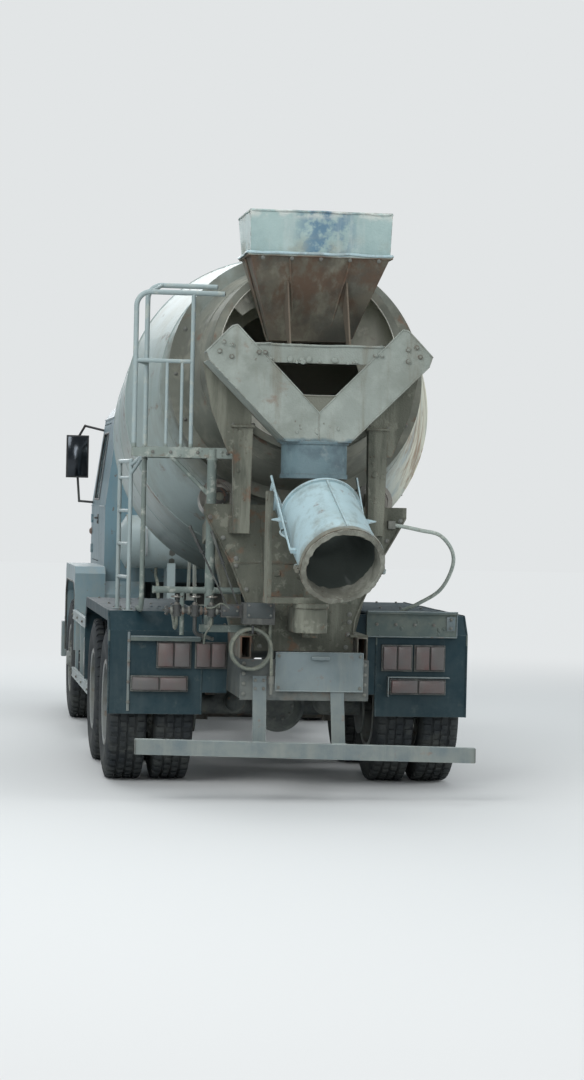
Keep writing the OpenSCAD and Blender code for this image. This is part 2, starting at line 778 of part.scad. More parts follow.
side_y0 = front_axle_y + 980;
tank_len = 1150;

module fuel_tank() {
    y0 = side_y0;
    len_y = tank_len;
    outline = [for (a = [0:30:330]) let (c = cos(a), s = sin(a)) [850 + 290 * sign(c) * pow(abs(c), 0.6),
        600 + 250 * sign(s) * pow(abs(s), 0.6)]];
    color("#8f9ba0") {
        front_plate(outline, y0, y0 + len_y);
        for (y = [y0 + 150, y0 + len_y - 200]) difference() {
            front_plate(inset(outline, -10), y, y + 50);
            front_plate(outline, y - 1, y + 51);
        }
        for (y = [y0 + 150, y0 + len_y - 200]) block([frame_w / 2 + fit_gap, y, frame_low + 20],
            [600, y + 50, frame_low + 80]);
        translate([850, y0 + 200, 840]) cylinder(r = 50, h = 50);
    }
}

module side_boxes() {
    y0 = side_y0;
    x1 = -frame_w / 2 - fit_gap;
    color("#4a4f52") {
        // battery box
        block([x1 - 480, y0, frame_low - 150], [x1, y0 + 560, frame_low + 190]);
        // air tanks
        for (z = [frame_low - 20, frame_low + 260]) translate([x1 - 190, y0 + 640, z - 60])
            rotate([-90, 0, 0]) cylinder(r = 120, h = 620);
        for (y = [y0 + 740, y0 + 1100]) block([x1 - 190, y, frame_low - 90], [x1, y + 40, frame_low + 200]);
    }
}

module water_tank() {
    y = cab_rear + 330;
    z = subframe_top + 520;
    color("#a9a596") {
        translate([-760, y, z]) rotate([0, 90, 0]) cylinder(r = 230, h = 1520);
        both_sides() translate([760, y, z]) rotate([0, 90, 0]) cylinder(r1 = 230, r2 = 150, h = 50);
        // cradles
        both_sides() block([frame_w / 2 - 90, y - 160, subframe_top],
            [frame_w / 2 - 20, y + 160, z - 180]);
        translate([200, y, z + 215]) cylinder(r = 60, h = 50);
    }
}

// Mixer

function drum_y(s, up) = mouth_y - s * cos(drum_slope) + up * sin(-drum_slope);
function drum_z(s, up) = mouth_z - s * sin(drum_slope) + up * cos(drum_slope);

// Outer radius of the shell at distance s from the mouth
function shell_r(s) = s < rear_cone ? mouth_r + (drum_r - mouth_r) * s / rear_cone : drum_r;

module drum() {
    p1 = rear_cone;
    p2 = p1 + drum_cyl;
    p3 = p2 + front_cone;
    p4 = p3 + drum_nose;
    outer = [[mouth_r, 0], [drum_r, p1], [drum_r, p2], [front_r, p3], [nose_r + 120, p3 + drum_nose * 0.7],
        [nose_r, p4]];
    inner = [for (i = [len(outer) - 1:-1:0]) moved(outer, i, drum_t)];
    color("#c4c2b6") in_drum() {
        rotate_extrude($fn = 96) polygon(concat(outer, [[0.01, p4], [0.01, p4 - drum_t]], inner));
        // mouth rim and drip ring: distance from the mouth, height over the mouth's radius
        for (r = [[0, 45], [70, 30]]) {
            foot = shell_r(r[0]) - 2;
            top = mouth_r + r[1] + r[0] * 0.3;
            rotate_extrude($fn = 96)
                polygon([[foot, r[0]], [top, r[0]], [top, r[0] + 12], [foot, r[0] + 12]]);
        }
        // roller track
        track_end = track_from_mouth + track_w;
        rotate_extrude($fn = 96)
            polygon([[shell_r(track_from_mouth) - 3, track_from_mouth], [track_r, track_from_mouth],
                [track_r, track_end], [shell_r(track_end) - 3, track_end]]);
        // front flange and shaft
        translate([0, 0, p4 - 2]) cylinder(r = nose_r, h = 27);
        translate([0, 0, p4 + 20]) cylinder(r = shaft_r, h = shaft_len + 5);
    }
}

module drum_gearbox() {
    s = drum_len + drum_nose + gearbox_from_nose;
    color("#55585a") in_drum() difference() {
        union() {
            translate([0, 0, s]) cylinder(r = 190, h = 120);
            translate([0, 0, s + 120]) cylinder(r = 230, h = 90);
            translate([0, 0, s + 210]) cylinder(r = 150, h = 150);
            translate([0, 0, s + 360]) cylinder(r = 90, h = 130);
        }
        translate([0, 0, s - 1]) cylinder(r = shaft_r + bearing_gap, h = shaft_len + 1);
    }
}

module front_pedestal() {
    s = drum_len + drum_nose + gearbox_from_nose;
    y = drum_y(s + 165, 0);
    z = drum_z(s + 165, -230);
    color("#a9a596") {
        // side plates from the subframe to the gearbox flange
        both_sides() difference() {
            side_plate([[y - 330, subframe_top], [y + 430, subframe_top],
                [y + 110, z + 130], [y - 70, z + 130]], 300, 316);
            side_plate([[y - 170, subframe_top + 90], [y + 230, subframe_top + 90],
                [y + 70, z - 40], [y - 50, z - 40]], 290, 330);
        }
        // head plate with the seat of the gearbox
        in_drum() difference() {
            translate([-308, -300, s + 130]) cube([616, 420, 50]);
            translate([0, 0, s]) cylinder(r = 230 + fit_gap, h = 300);
        }
        block([-frame_w / 2, y - 330, subframe_top], [frame_w / 2, y - 180, subframe_top + 14]);
        block([-frame_w / 2, y + 280, subframe_top], [frame_w / 2, y + 430, subframe_top + 14]);
    }
}

// Middle of a support roller in drum coordinates
function roller_x() = roller_reach * sin(roller_angle);
function roller_up() = -roller_reach * cos(roller_angle);

module at_roller(side) {
    in_drum() translate([side * roller_x(), roller_up(), track_mid]) children();
}

module roller(side) {
    color("#7b7468") at_roller(side) difference() {
        translate([0, 0, -60]) cylinder(r = roller_r, h = 120);
        translate([0, 0, -61]) cylinder(r = roller_shaft_r + bearing_gap, h = 122);
        for (s = [-1, 1]) translate([0, 0, s * 60]) rotate_extrude()
            polygon([[50, -22], [100, -22], [100, 22], [50, 22]]);
    }
}

post_x = 450;
post_y = axle3_y + 1330;
post_top = 2456;
apron_y = axle3_y + 1240;

module rear_pedestal() {
    ry = drum_y(track_mid, roller_up());
    rz = drum_z(track_mid, roller_up());
    foot_y0 = axle3_y + 250;
    foot_y1 = frame_end - 40;
    color("#8a8478") {
        // roller shafts and the brackets that hold them
        both_sides() at_roller(1) {
            translate([0, 0, -120]) cylinder(r = roller_shaft_r, h = 240);
            for (z = [-115, 75]) translate([-70, -170, z]) cube([140, 210, 40]);
        }
        // sloping cross beam under the rollers
        in_drum() translate([-roller_x() - 90, roller_up() - 290, track_mid - 115])
            cube([2 * roller_x() + 180, 130, 230]);
        // legs from the subframe up to the beam
        both_sides() front_plate([[frame_w / 2 - 110, subframe_top], [frame_w / 2 - 5, subframe_top],
            [roller_x() + 60, rz - 200], [roller_x() - 70, rz - 200]], ry - 70, ry + 70);
        // rear apron, wide at the top and narrow at the foot
        apron = [[330, subframe_top - 100], [350, 1200], [500, 1560], [680, 1880], [680, rz - 30]];
        front_plate(concat(apron, [for (i = [len(apron) - 1:-1:0]) [-apron[i][0], apron[i][1]]]), apron_y,
            apron_y + 16);
        both_sides() side_plate([[ry + 60, subframe_top], [apron_y + 1, subframe_top],
            [apron_y + 1, rz - 60], [ry + 60, rz - 220]], 300, 312);
        // posts that carry the collector
        both_sides() {
            front_plate([[post_x - 55, rz - 220], [post_x + 50, rz - 220],
                [post_x + 65, post_top], [post_x - 65, post_top]], post_y, post_y + 80);
            block([post_x - 78, post_y - 14, post_top - eps], [post_x + 78, post_y + 94, post_top + 14]);
            block([post_x - 65, apron_y + 10, rz - 220], [post_x + 65, post_y + 1, rz - 120]);
            // wing plate under the collector's arm
            front_plate([[post_x - 55, 2280], [post_x + 95, 2280], [660, 2560], [725, 725 + floor_rise],
                [post_x - 55, post_x - 55 + floor_rise]], post_y + 60, post_y + 72);
        }
        // chute arm, out to the swing bearing
        difference() {
            union() {
                block([-110, apron_y + 1, subframe_top + 40], [110, chute_axis_y, subframe_top + 200]);
                translate([0, chute_axis_y, subframe_top + 40]) cylinder(r = 110, h = 160);
            }
            translate([0, chute_axis_y, subframe_top - 10]) cylinder(r = 50 + bearing_gap, h = 300);
        }
        // foot plates
        both_sides() block([frame_w / 2 - 120, foot_y0, subframe_top],
            [frame_w / 2, foot_y1, subframe_top + 14]);
    }
}

// Hopper sections: height, half width, front and rear in Y from the mouth's centre
hopper_sections = [
    [hopper_top - 820, 268, -125, 40],
    [hopper_top - 290, hopper_half - 8, -35, 450],
    [hopper_top, hopper_half, -190, 470],
];

// The hopper's body; d draws in its sides, and e lengthens its ends
module hopper_body(d, e) {
    n = len(hopper_sections) - 1;
    function z(i) = hopper_sections[i][0] + (i == 0 ? -e : i == n ? e : 0);
    intersection() {
        front_plate(concat([for (i = [0:n]) [hopper_sections[i][1] - d, z(i)]],
            [for (i = [n:-1:0]) [-hopper_sections[i][1] + d, z(i)]]), mouth_y - 600, mouth_y + 1000);
        side_plate(concat([for (i = [0:n]) [mouth_y + hopper_sections[i][3] - d, z(i)]],
            [for (i = [n:-1:0]) [mouth_y + hopper_sections[i][2] + d, z(i)]]), -900, 900);
    }
}

module charge_hopper() {
    lip = hopper_top - 290;
    color("#a9b3b0") {
        difference() {
            hopper_body(0, 0);
            hopper_body(hopper_t, eps);
        }
        // lip where the collar meets the funnel
        difference() {
            block([-hopper_half - 8, mouth_y - 49, lip - 8], [hopper_half + 8, mouth_y + 466, lip + 8]);
            hopper_body(hopper_t / 2, 0);
        }
    }
}

module collector() {
    y1 = chute_axis_y + 190;
    y0 = mouth_y + 150;
    h = throat_half;
    low = outlet_high;
    t = collector_t;
    // the right half, seen from behind: throat, floor, tip and upper edge
    tip = [745, low + 745 - h];
    arm_top = [565, 3117];
    throat_top = 2660;
    arm = [[0, low - 1], [h - 1, low - 1], tip - [24, 24], tip + [-6, 30], arm_top + [12, -24],
        arm_top - [24, 14], [105, throat_top], [0, throat_top]];
    color("#a2a69f") {
        both_sides() {
            front_plate(arm, y1 - t, y1);
            // sloping floor of the arm, and its end plate
            front_plate(sheet([[h - 1, low - 1], tip - [24, 24]], t), y0, y1);
            front_plate(sheet([tip + [-6, 30], arm_top + [12, -24]], t), y1 - 180, y1);
        }
        // front wall of the throat
        block([-h, y0, low - t], [h, y0 + t, low + 30]);
        // throat plate round the outlet, and the outlet itself
        difference() {
            union() {
                block([-h, y0, low - t], [h, y1, low + 1]);
                translate([0, chute_axis_y, outlet_low]) cylinder(r = outlet_r, h = low - outlet_low);
            }
            translate([0, chute_axis_y, outlet_low - eps]) cylinder(r = outlet_r - 6, h = 400);
        }
        // cross bar, and the struts that carry the hopper
        block([-450, y1 - 60, 2870], [450, y1 - t + 1, 2990]);
        difference() {
            both_sides() side_plate([[y1 - 58, 2900], [y1 - 12, 2980], [mouth_y + 330, 3420],
                [mouth_y + 200, 3250]], 190, 200);
            hopper_body(-fit_gap, 0);
        }
    }
}

// Chute frame: X across, Z up the slope, at the lift axis
module in_chute() {
    translate([0, chute_axis_y, lift_z]) rotate([0, 0, chute_turn]) rotate([-90 - chute_slope, 0, 0])
        children();
}

module chute() {
    inlet = 190;
    trough = 330;
    rib = 14;
    color("#c3d0d2") in_chute() {
        difference() {
            union() {
                // closed tube, then the open trough above it
                translate([0, 0, inlet]) cylinder(r = chute_r, h = chute_len);
                translate([0, 0, inlet]) cylinder(r = chute_r + 14, h = 16);
                translate([0, 0, inlet + chute_len - 30]) cylinder(r = chute_r + 16, h = 30);
                translate([0, 0, inlet - trough]) cylinder(r = chute_r, h = trough + 1);
            }
            translate([0, 0, inlet - trough - 1]) cylinder(r = chute_r - chute_t, h = trough + chute_len + 2);
            translate([-400, -400, inlet - trough - 1]) cube([800, 400 - 40, trough + 1]);
        }
        // top rib
        translate([-rib / 2, -chute_r - 10, inlet]) cube([rib, rib, chute_len]);
        // pivot ears
        both_sides() difference() {
            translate([chute_r - 3, -45, -50]) cube([22, 110, 100]);
            along_x(chute_r - 10) cylinder(r = 18 + bearing_gap, h = 60);
        }
        // stay rods with their lugs; the right one has lost its lower half
        for (s = [[1, 610], [-1, 240]]) {
            x = chute_r + 32;
            rod([s[0] * x, -130, -60], [s[0] * x, 20, s[1]], 8.5);
            translate([s[0] * (x / 2 + (chute_r - 4) / 2), 20, s[1]])
                cube([x - chute_r + 10, 26, 30], center = true);
        }
        // side brackets and the grab loops
        both_sides() {
            translate([chute_r - 4, -14, inlet + 110]) rotate([90, 0, 0]) linear_extrude(8)
                polygon([[0, -40], [100, 0], [0, 40]]);
            translate([chute_r + 2, 20, inlet + 210]) rotate([0, 90, 90])
                rotate_extrude($fn = 24) translate([48, 0]) circle(r = 8, $fn = 12);
        }
    }
}

module chute_bracket() {
    arm_x0 = chute_r + 21;
    low = subframe_top + 201;
    color("#7b7468") {
        // pivot post in the swing bearing
        translate([0, chute_axis_y, subframe_top + 10]) cylinder(r = 50, h = 320);
        translate([0, chute_axis_y, low]) cylinder(r = 120, h = 30);
        // fork
        translate([0, chute_axis_y, 0]) rotate([0, 0, chute_turn]) {
            block([-arm_x0 - 30, -60, low + 30], [arm_x0 + 30, 60, low + 70]);
            both_sides() {
                block([arm_x0 + 2, -45, low + 30], [arm_x0 + 30, 45, lift_z + 45]);
                translate([0, 0, lift_z]) along_x(chute_r + fit_gap) cylinder(r = 18, h = 57);
            }
        }
    }
}

// Hoses

hose_r = 11;
coil_r = 132;
coil_x = 370;
coil_y = frame_end + 36;
coil_pitch = 24;
coil_turns = 4;
hook_r = 8.7;
hook_z = 1112;
valve_z = 1160;
// Every turn hangs on the hook
coil_z = hook_z + hook_r + fit_gap + hose_r - coil_r;

// The hose leaves the valve straight down into the coil's first turn, and its end hangs from the last turn
hose_lead = [for (z = [valve_z:-20:coil_z]) [coil_x - coil_r, coil_y, z]];
hose_tail = [for (z = [coil_z:-22:coil_z - 176]) [coil_x - coil_r, coil_y + coil_pitch * coil_turns, z]];
tail_end = hose_tail[len(hose_tail) - 1];

// X, distance behind the last axle, and Z
side_hose_stops = [[-560, 1275, 1832], [-640, 1275, 1826], [-785, 1240, 1800], [-930, 1150, 1770],
    [-1035, 1050, 1670], [-1062, 950, 1550], [-1010, 800, 1390], [-880, 660, 1285], [-790, 585, 1235],
    [-770, 565, 1200]];
side_hose_points = [for (p = side_hose_stops) [p[0], axle3_y + p[1], p[2]]];

// Smooth curve through points, n steps between each two
function spline(p, n) = let (m = len(p) - 1) [for (i = [0:m - 1]) for (k = [0:n - (i == m - 1 ? 0 : 1)])
    let (t = k / n, a = p[max(i - 1, 0)], b = p[i], c = p[i + 1], d = p[min(i + 2, m)])
    0.5 * (2 * b + (c - a) * t + (2 * a - 5 * b + 4 * c - d) * t * t + (3 * b - a - 3 * c + d) * t * t * t)];

// A tube with an eight-sided section along a route
module tube(route, r, sides = 8) {
    n = len(route);
    rings = [for (i = [0:n - 1])
        let (t = unit(route[min(i + 1, n - 1)] - route[max(i - 1, 0)]), u = unit(cross(t, [0, 1, 0])),
            v = cross(t, u))
        for (k = [0:sides - 1]) route[i] + r * (u * cos(360 * k / sides) + v * sin(360 * k / sides))];
    walls = [for (i = [0:n - 2]) for (k = [0:sides - 1])
        let (a = i * sides + k, b = i * sides + (k + 1) % sides)
            each [[a, a + sides, b], [b, a + sides, b + sides]]];
    polyhedron(rings, concat([[for (k = [0:sides - 1]) k]], walls,
        [[for (k = [sides - 1:-1:0]) (n - 1) * sides + k]]));
}

module hose_ends() {
    color("#4d5350") {
        tube(hose_lead, hose_r);
        tube(hose_tail, hose_r);
    }
}

// The outer shape of the hung coil
module hose_coil() {
    color("#4d5350") translate([coil_x, coil_y + coil_pitch * coil_turns + hose_r, coil_z]) rotate([90, 0, 0])
        rotate_extrude() translate([coil_r - hose_r, 0])
            square([2 * hose_r, coil_pitch * coil_turns + 2 * hose_r]);
}

module hose_nozzle() {
    color("#6a6f70") translate(tail_end - [0, 0, 118 + fit_gap]) {
        cylinder(r1 = 9, r2 = 13, h = 70);
        translate([0, 0, 69]) cylinder(r = 17, h = 49);
    }
}

// Levers of the drum drive: foot and grip ends, as X and Z
levers = [[[512, 1270], [692, 1628], [774, 1791]], [[442, 1270], [551, 1558], [628, 1761]]];

module valve_box() {
    pipe_y = apron_y + 50;
    pipe_z = valve_z + 80;
    color("#2b2f33") {
        // console with the levers and their grips
        block([coil_x + 50 - eps, pipe_y - 30, pipe_z - 40], [coil_x + 190, pipe_y + 30, pipe_z + 45]);
        for (l = levers) {
            rod([l[0][0], pipe_y, l[0][1]], [l[2][0], pipe_y, l[2][1]], 6);
            rod([l[1][0], pipe_y, l[1][1]], [l[2][0], pipe_y, l[2][1]], 11);
        }
        // water pipe with three valves, and its drain
        rod([coil_x + 188, pipe_y, pipe_z], [910, pipe_y, pipe_z], 20);
        translate([910, pipe_y, pipe_z]) rotate([0, 90, 0]) cylinder(r = 32, h = 14);
        for (x = [620, 730, 850]) translate([x, pipe_y, pipe_z]) {
            translate([0, 0, -38]) cylinder(r = 30, h = 76, $fn = 24);
            translate([0, 0, 37]) cylinder(r = 8, h = 50, $fn = pipe_fn);
            translate([0, 0, 86]) cylinder(r = 34, h = 10, $fn = 24);
        }
        bent_pipe([[730, pipe_y, pipe_z - 30], [730, pipe_y, pipe_z - 150],
            [600, pipe_y - 60, pipe_z - 190]], 13, 40);
        block([coil_x - coil_r - 25, apron_y + 16 + fit_gap, valve_z + fit_gap],
            [coil_x + 50, coil_y + 24, valve_z + 140]);
        // hook that the coil hangs on
        rod([coil_x, apron_y + 16 + fit_gap, hook_z],
            [coil_x, coil_y + coil_pitch * coil_turns + 30, hook_z], hook_r);
        rod([coil_x, coil_y + coil_pitch * coil_turns + 28, hook_z - 8],
            [coil_x, coil_y + coil_pitch * coil_turns + 28, hook_z + 42], 8);
    }
}

module side_hose() {
    route = spline(side_hose_points, 4);
    last = len(side_hose_points) - 1;
    color("#9aa3a3") tube(route, 13);
    color("#6a6f70") {
        block([-600, apron_y + 16 + fit_gap, 1805], [-550, apron_y + 60, 1860]);
        translate([side_hose_points[last][0], side_hose_points[last][1], guard_top + fit_gap])
            cylinder(r = 24, h = 30);
    }
}

// Access and rear

// Deck corners: outer edge, inner edge at the front and at the rear
plat_x1 = 1060;
plat_front_x = 720;
plat_rear_x = 470;
plat_y0 = axle3_y + 730;
plat_y1 = axle3_y + 1150;
post_at = 620;
lower_rail = 1370;
deck = [[plat_front_x, plat_y0], [plat_x1, plat_y0], [plat_x1, plat_y1], [plat_rear_x, plat_y1],
    [plat_rear_x, plat_y0 + 240]];

module platform() {
    r = 17;
    bend = 95;
    y0 = plat_y0 + 20;
    y1 = plat_y1 - 20;
    // outer poles: the front one runs down to the mudguard, the rear one stands off the deck's side
    front_x = plat_x1 - 20;
    rear_x = plat_x1 + 85;
    inner_x = 766;
    mid_rail = platform_z + 570;
    color("#c9cec8") {
        // deck with its kick plate
        translate([0, 0, platform_z - 12]) linear_extrude(12) polygon(deck);
        translate([0, 0, platform_z - 70]) linear_extrude(70) difference() {
            polygon(deck);
            polygon(inset(deck, 8));
        }
        // hoops at the front and rear
        bent_pipe([[front_x, axle3_y + 400, guard_top + r + fit_gap], [front_x, y0, guard_top + r + fit_gap],
                   [front_x, y0, rail_top + 30], [plat_front_x - 150, y0, rail_top + 30]], r, bend);
        bent_pipe([[rear_x, y1, platform_z - 60], [rear_x, y1, rail_top - 45],
            [plat_rear_x + 90, y1, rail_top - 45]], r, bend);
        block([plat_x1 - eps, y1 - 20, platform_z - 66], [rear_x + 12, y1 + 20, platform_z - 6]);
        rod([inner_x, y1, platform_z - 30], [inner_x, y1, rail_top - 45], r * 0.85);
        rod([inner_x, y1, mid_rail], [rear_x, y1, mid_rail], r * 0.8);
        for (x = [833, 933]) rod([x, y1, platform_z - 30], [x, y1, mid_rail], r * 0.65);
        // side rails between the hoops
        rod([front_x, y0, mid_rail], [rear_x, y1, mid_rail], r * 0.8);
        rod([front_x - bend, y0, rail_top + 30], [rear_x - bend, y1, rail_top - 45], r * 0.75);
        // post down to the frame, its brace, and the lower hand rail with its stub
        rod([post_at, y1, subframe_top + 30], [post_at, y1, platform_z - 10], 32);
        rod([post_at, y1, platform_z - 330], [plat_x1 - 140, y1, platform_z - 40], 15);
        rod([340, y1, lower_rail], [1000, y1, lower_rail], 22);
        rod([800, y1, lower_rail - 300], [800, y1, lower_rail], 15);
        block([frame_w / 2 - 100, y1 - 40, subframe_top + 14 + fit_gap],
            [post_at + 60, y1 + 40, subframe_top + 60]);
    }
}

module ladder() {
    r = 15;
    // foot and head of each rail: X and Y
    a = [overall_w / 2 - 140, axle3_y + 490];
    b = [overall_w / 2 - 90, axle3_y + 150];
    top = platform_z - 90;
    color("#c9cec8") {
        pipe([[a[0], a[1], guard_top + fit_gap], [a[0], a[1], top], [b[0], b[1], top],
            [b[0], b[1], guard_top + fit_gap]], r);
        for (i = [1:4]) let (z = guard_top + (top - guard_top) * i / 4.5)
            rod([a[0], a[1], z], [b[0], b[1], z], 12);
        // ties to the platform
        difference() {
            for (z = [top - 30, top - 90])
                rod([a[0], a[1], z], [plat_x1 - 30, plat_y0 + 20, platform_z - 30], 12);
            translate([0, 0, platform_z - 70 - fit_gap]) linear_extrude(200) polygon(inset(deck, -fit_gap));
        }
    }
}

guard_x0 = 600;

module rear_mudguards() {
    reach = tyre_r + 90;
    y0 = axle2_y - reach;
    y1 = axle3_y + reach;
    line = [[y1, guard_low], [y1, guard_top - 130], [y1 - 110, guard_top], [y0 + 110, guard_top],
        [y0, guard_top - 130], [y0, guard_low + 60]];
    x1 = overall_w / 2;
    edge = [line[1] - [0, 100], line[1], line[2], line[3], line[4], line[4] - [0, 100]];
    stay_x = frame_w / 2 + fit_gap;
    color("#23282e") both_sides() {
        side_plate(sheet(line, 6), guard_x0, x1);
        // turned-down outer edge
        side_plate(sheet(edge, 70), x1 - 6, x1);
        // stays from the frame
        for (y = [y0 + 240, (axle2_y + axle3_y) / 2, y1 - 240]) {
            block([stay_x, y - 30, guard_top - 56], [x1 - 40, y + 30, guard_top - 6]);
            block([stay_x, y - 30, frame_top - 120], [stay_x + 30, y + 30, guard_top - 6]);
        }
        // rear panel from the guard in to the frame, for the lamps
        block([frame_w / 2 + fit_gap, y1 - 6, frame_low - 20], [guard_x0 + 4, y1, frame_top + 260]);
    }
    color("#5c6b6a") {
        // board with a lip on the right, and a strip over the left lamps
        block([-1165, y1 - 3, 1050], [-530, y1 + 38, 1230]);
        block([-1165, y1 + 37, 1214], [-530, y1 + 62, 1230]);
        block([620, y1 - 3, 1002], [1100, y1 + 40, 1030]);
    }
}

rail_x = 1185;
// Gaps from the fuel tank to the arms before and behind it
tank_to_front_arm = 70;
tank_to_rear_arm = 140;

// Side guards between the wheels, on posts and arms from the frame
module side_guards() {
    y0 = side_y0 - tank_to_front_arm;
    y1 = axle2_y - 740;
    arm_z = frame_low + 30;
    arm_mid = side_y0 + tank_len + tank_to_rear_arm;
    arms = [y0, arm_mid, y1 - 40];
    color("#8f9ba0") both_sides() {
        for (z = [430, 925]) block([rail_x, y0, z], [rail_x + 28, y1, z + 75]);
        for (y = concat(arms, [(y0 + arm_mid) / 2]))
            block([rail_x - 25, y, 420], [rail_x + eps, y + 40, 1010]);
        for (y = arms) block([frame_w / 2 + fit_gap, y, arm_z], [rail_x - 24, y + 40, arm_z + 40]);
    }
}

// A lamp on the plane y: housing, and two lens fields that stand proud of it
module lamp(x, z, y, depth) {
    rim = 9;
    middle = (x[0] + x[1]) / 2;
    block([x[0], y, z[0]], [x[1], y + depth, z[1]]);
    for (f = [[x[0] + rim, middle - rim / 2], [middle + rim / 2, x[1] - rim]])
        block([f[0], y + depth - eps, z[0] + rim], [f[1], y + depth + 13, z[1] - rim]);
}

module rear_lamps() {
    y = axle3_y + tyre_r + 90 + fit_gap;
    color("#a2452f") {
        // left pair, right pair, and the lower lamps
        for (x = [[434, 655], [680, 920], [-1090, -870], [-860, -640]]) lamp(x, [815, 1000], y, 22);
        for (x = [[-1095, -700], [700, 1095]]) lamp(x, [655, 765], y, 37);
    }
}

module underride_bar() {
    y0 = frame_end + 10 + fit_gap;
    y1 = axle3_y + 1480;
    color("#b4b8b2") {
        rotate_bar() difference() {
            block([-bar_half, y1, bar_z - 50], [bar_half, y1 + 60, bar_z + 50]);
            block([-bar_half - 1, y1 - 1, bar_z - 44], [bar_half + 1, y1 + 50, bar_z + 44]);
        }
        // drop brackets
        for (x = [[300, 292], [-215, -240]])
            front_plate([[x[0] - 45, frame_low + 150], [x[0] + 45, frame_low + 150],
                [x[1] + 45, bar_z - 40], [x[1] - 45, bar_z - 40]], y0, y0 + 12);
        for (x = [292, -240]) block([x - 45, y0, bar_z - 40], [x + 45, y1 + 55, bar_z + 40]);
        // plate over the rear cross member
        block([-391, y0 + 12 - eps, 720], [198, y0 + 20, 980]);
    }
}

// The bar has sagged to the truck's right
module rotate_bar() {
    translate([0, 0, bar_z]) rotate([0, -1, 0]) translate([0, 0, -bar_z]) children();
}

chassis_frame();
mixer_subframe();
engine();
front_axle();
rear_axles();
leaf_springs();
prop_shafts();
knuckle();  // knuckle_left
mirror([1, 0, 0]) knuckle();  // knuckle_right
tie_rod();
front_tyre(1);  // tyre_front_left
front_tyre(-1);  // tyre_front_right
at_wheel(1, front_wheel_x, front_axle_y) front_rim();  // rim_front_left
at_wheel(-1, front_wheel_x, front_axle_y) front_rim();  // rim_front_right
twin_tyres(1, axle2_y);  // tyres_mid_left
twin_tyres(-1, axle2_y);  // tyres_mid_right
at_wheel(1, rear_mid_x, axle2_y) twin_rims();  // rims_mid_left
at_wheel(-1, rear_mid_x, axle2_y) twin_rims();  // rims_mid_right
twin_tyres(1, axle3_y);  // tyres_back_left
twin_tyres(-1, axle3_y);  // tyres_back_right
at_wheel(1, rear_mid_x, axle3_y) twin_rims();  // rims_back_left
at_wheel(-1, rear_mid_x, axle3_y) twin_rims();  // rims_back_right
cab_shell();
cab_glass();
cab_interior();
door();  // door_left
mirror([1, 0, 0]) door();  // door_right
door_glass();  // door_glass_left
mirror([1, 0, 0]) door_glass();  // door_glass_right
front_bumper();
grille();
headlamps();
front_fenders();
mirrors();
fuel_tank();
side_boxes();
water_tank();
front_pedestal();
drum_gearbox();
drum();
roller(1);  // roller_left
roller(-1);  // roller_right
rear_pedestal();
charge_hopper();
collector();
chute_bracket();
chute();
valve_box();
hose_ends();
hose_coil();
hose_nozzle();
side_hose();
platform();
ladder();
rear_mudguards();
rear_lamps();
underride_bar();
side_guards();
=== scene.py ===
"""Looks of the concrete mixer truck: paint, mud, rubber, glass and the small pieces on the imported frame."""

import math
import random

import bmesh
import bpy
from bpy.props import FloatProperty, FloatVectorProperty, IntProperty, PointerProperty
from mathutils import Matrix, Vector


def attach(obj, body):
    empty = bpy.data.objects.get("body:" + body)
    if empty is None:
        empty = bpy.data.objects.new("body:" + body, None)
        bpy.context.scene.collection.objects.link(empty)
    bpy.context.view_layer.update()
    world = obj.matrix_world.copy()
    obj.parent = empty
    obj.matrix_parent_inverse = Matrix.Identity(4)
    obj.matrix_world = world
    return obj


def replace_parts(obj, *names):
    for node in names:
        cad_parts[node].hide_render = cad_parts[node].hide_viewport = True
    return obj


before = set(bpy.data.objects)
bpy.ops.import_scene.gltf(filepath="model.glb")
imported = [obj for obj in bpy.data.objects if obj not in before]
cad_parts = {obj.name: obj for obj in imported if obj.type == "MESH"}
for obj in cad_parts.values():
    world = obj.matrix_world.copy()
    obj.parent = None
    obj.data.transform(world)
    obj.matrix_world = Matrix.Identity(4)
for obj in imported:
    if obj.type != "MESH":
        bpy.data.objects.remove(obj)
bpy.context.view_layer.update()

bl_info = {
    "name": "Concrete mixer truck",
    "version": (1, 0, 0),
    "blender": (4, 5, 0),
    "location": "View3D > Sidebar > Mixer truck",
    "description": "Dresses the packed mixer truck with its finishes and small pieces",
    "category": "Object",
}

# Ways and sides: +X is the truck's left and +Y its rear
LEFT, REAR, UP = (1, 0, 0), (0, 1, 0), (0, 0, 1)
SIDES = (-1, 1)

# Stations of the truck, in metres, as in the part's source
FRONT_AXLE_Y = -3.05
AXLE_2_Y = 0.8
AXLE_3_Y = 2.15
AXLE_Z = 0.53
FRAME_END = 3.5
FRONT_WHEEL_X = 1.05
TWIN_MIDDLE_X = 0.935
TWIN_HALF = 0.16
MOUTH = Vector((0, 3.37, 2.94))
DRUM_SLOPE = math.radians(10.5)
DRUM_PROFILE = ((0.0, 0.6), (1.55, 1.1), (2.65, 1.1), (3.85, 0.62), (4.13, 0.35), (4.25, 0.23))
CHUTE_PIVOT = Vector((0, 3.72, 1.995))
CHUTE_TURN = math.radians(8)
CHUTE_SLOPE = math.radians(31)
CHUTE_R = 0.258
LAMP_PANEL_Y = AXLE_3_Y + 0.6203
APRON_Y = AXLE_3_Y + 1.256
POST_Y = AXLE_3_Y + 1.13
VALVE_Z = 1.16

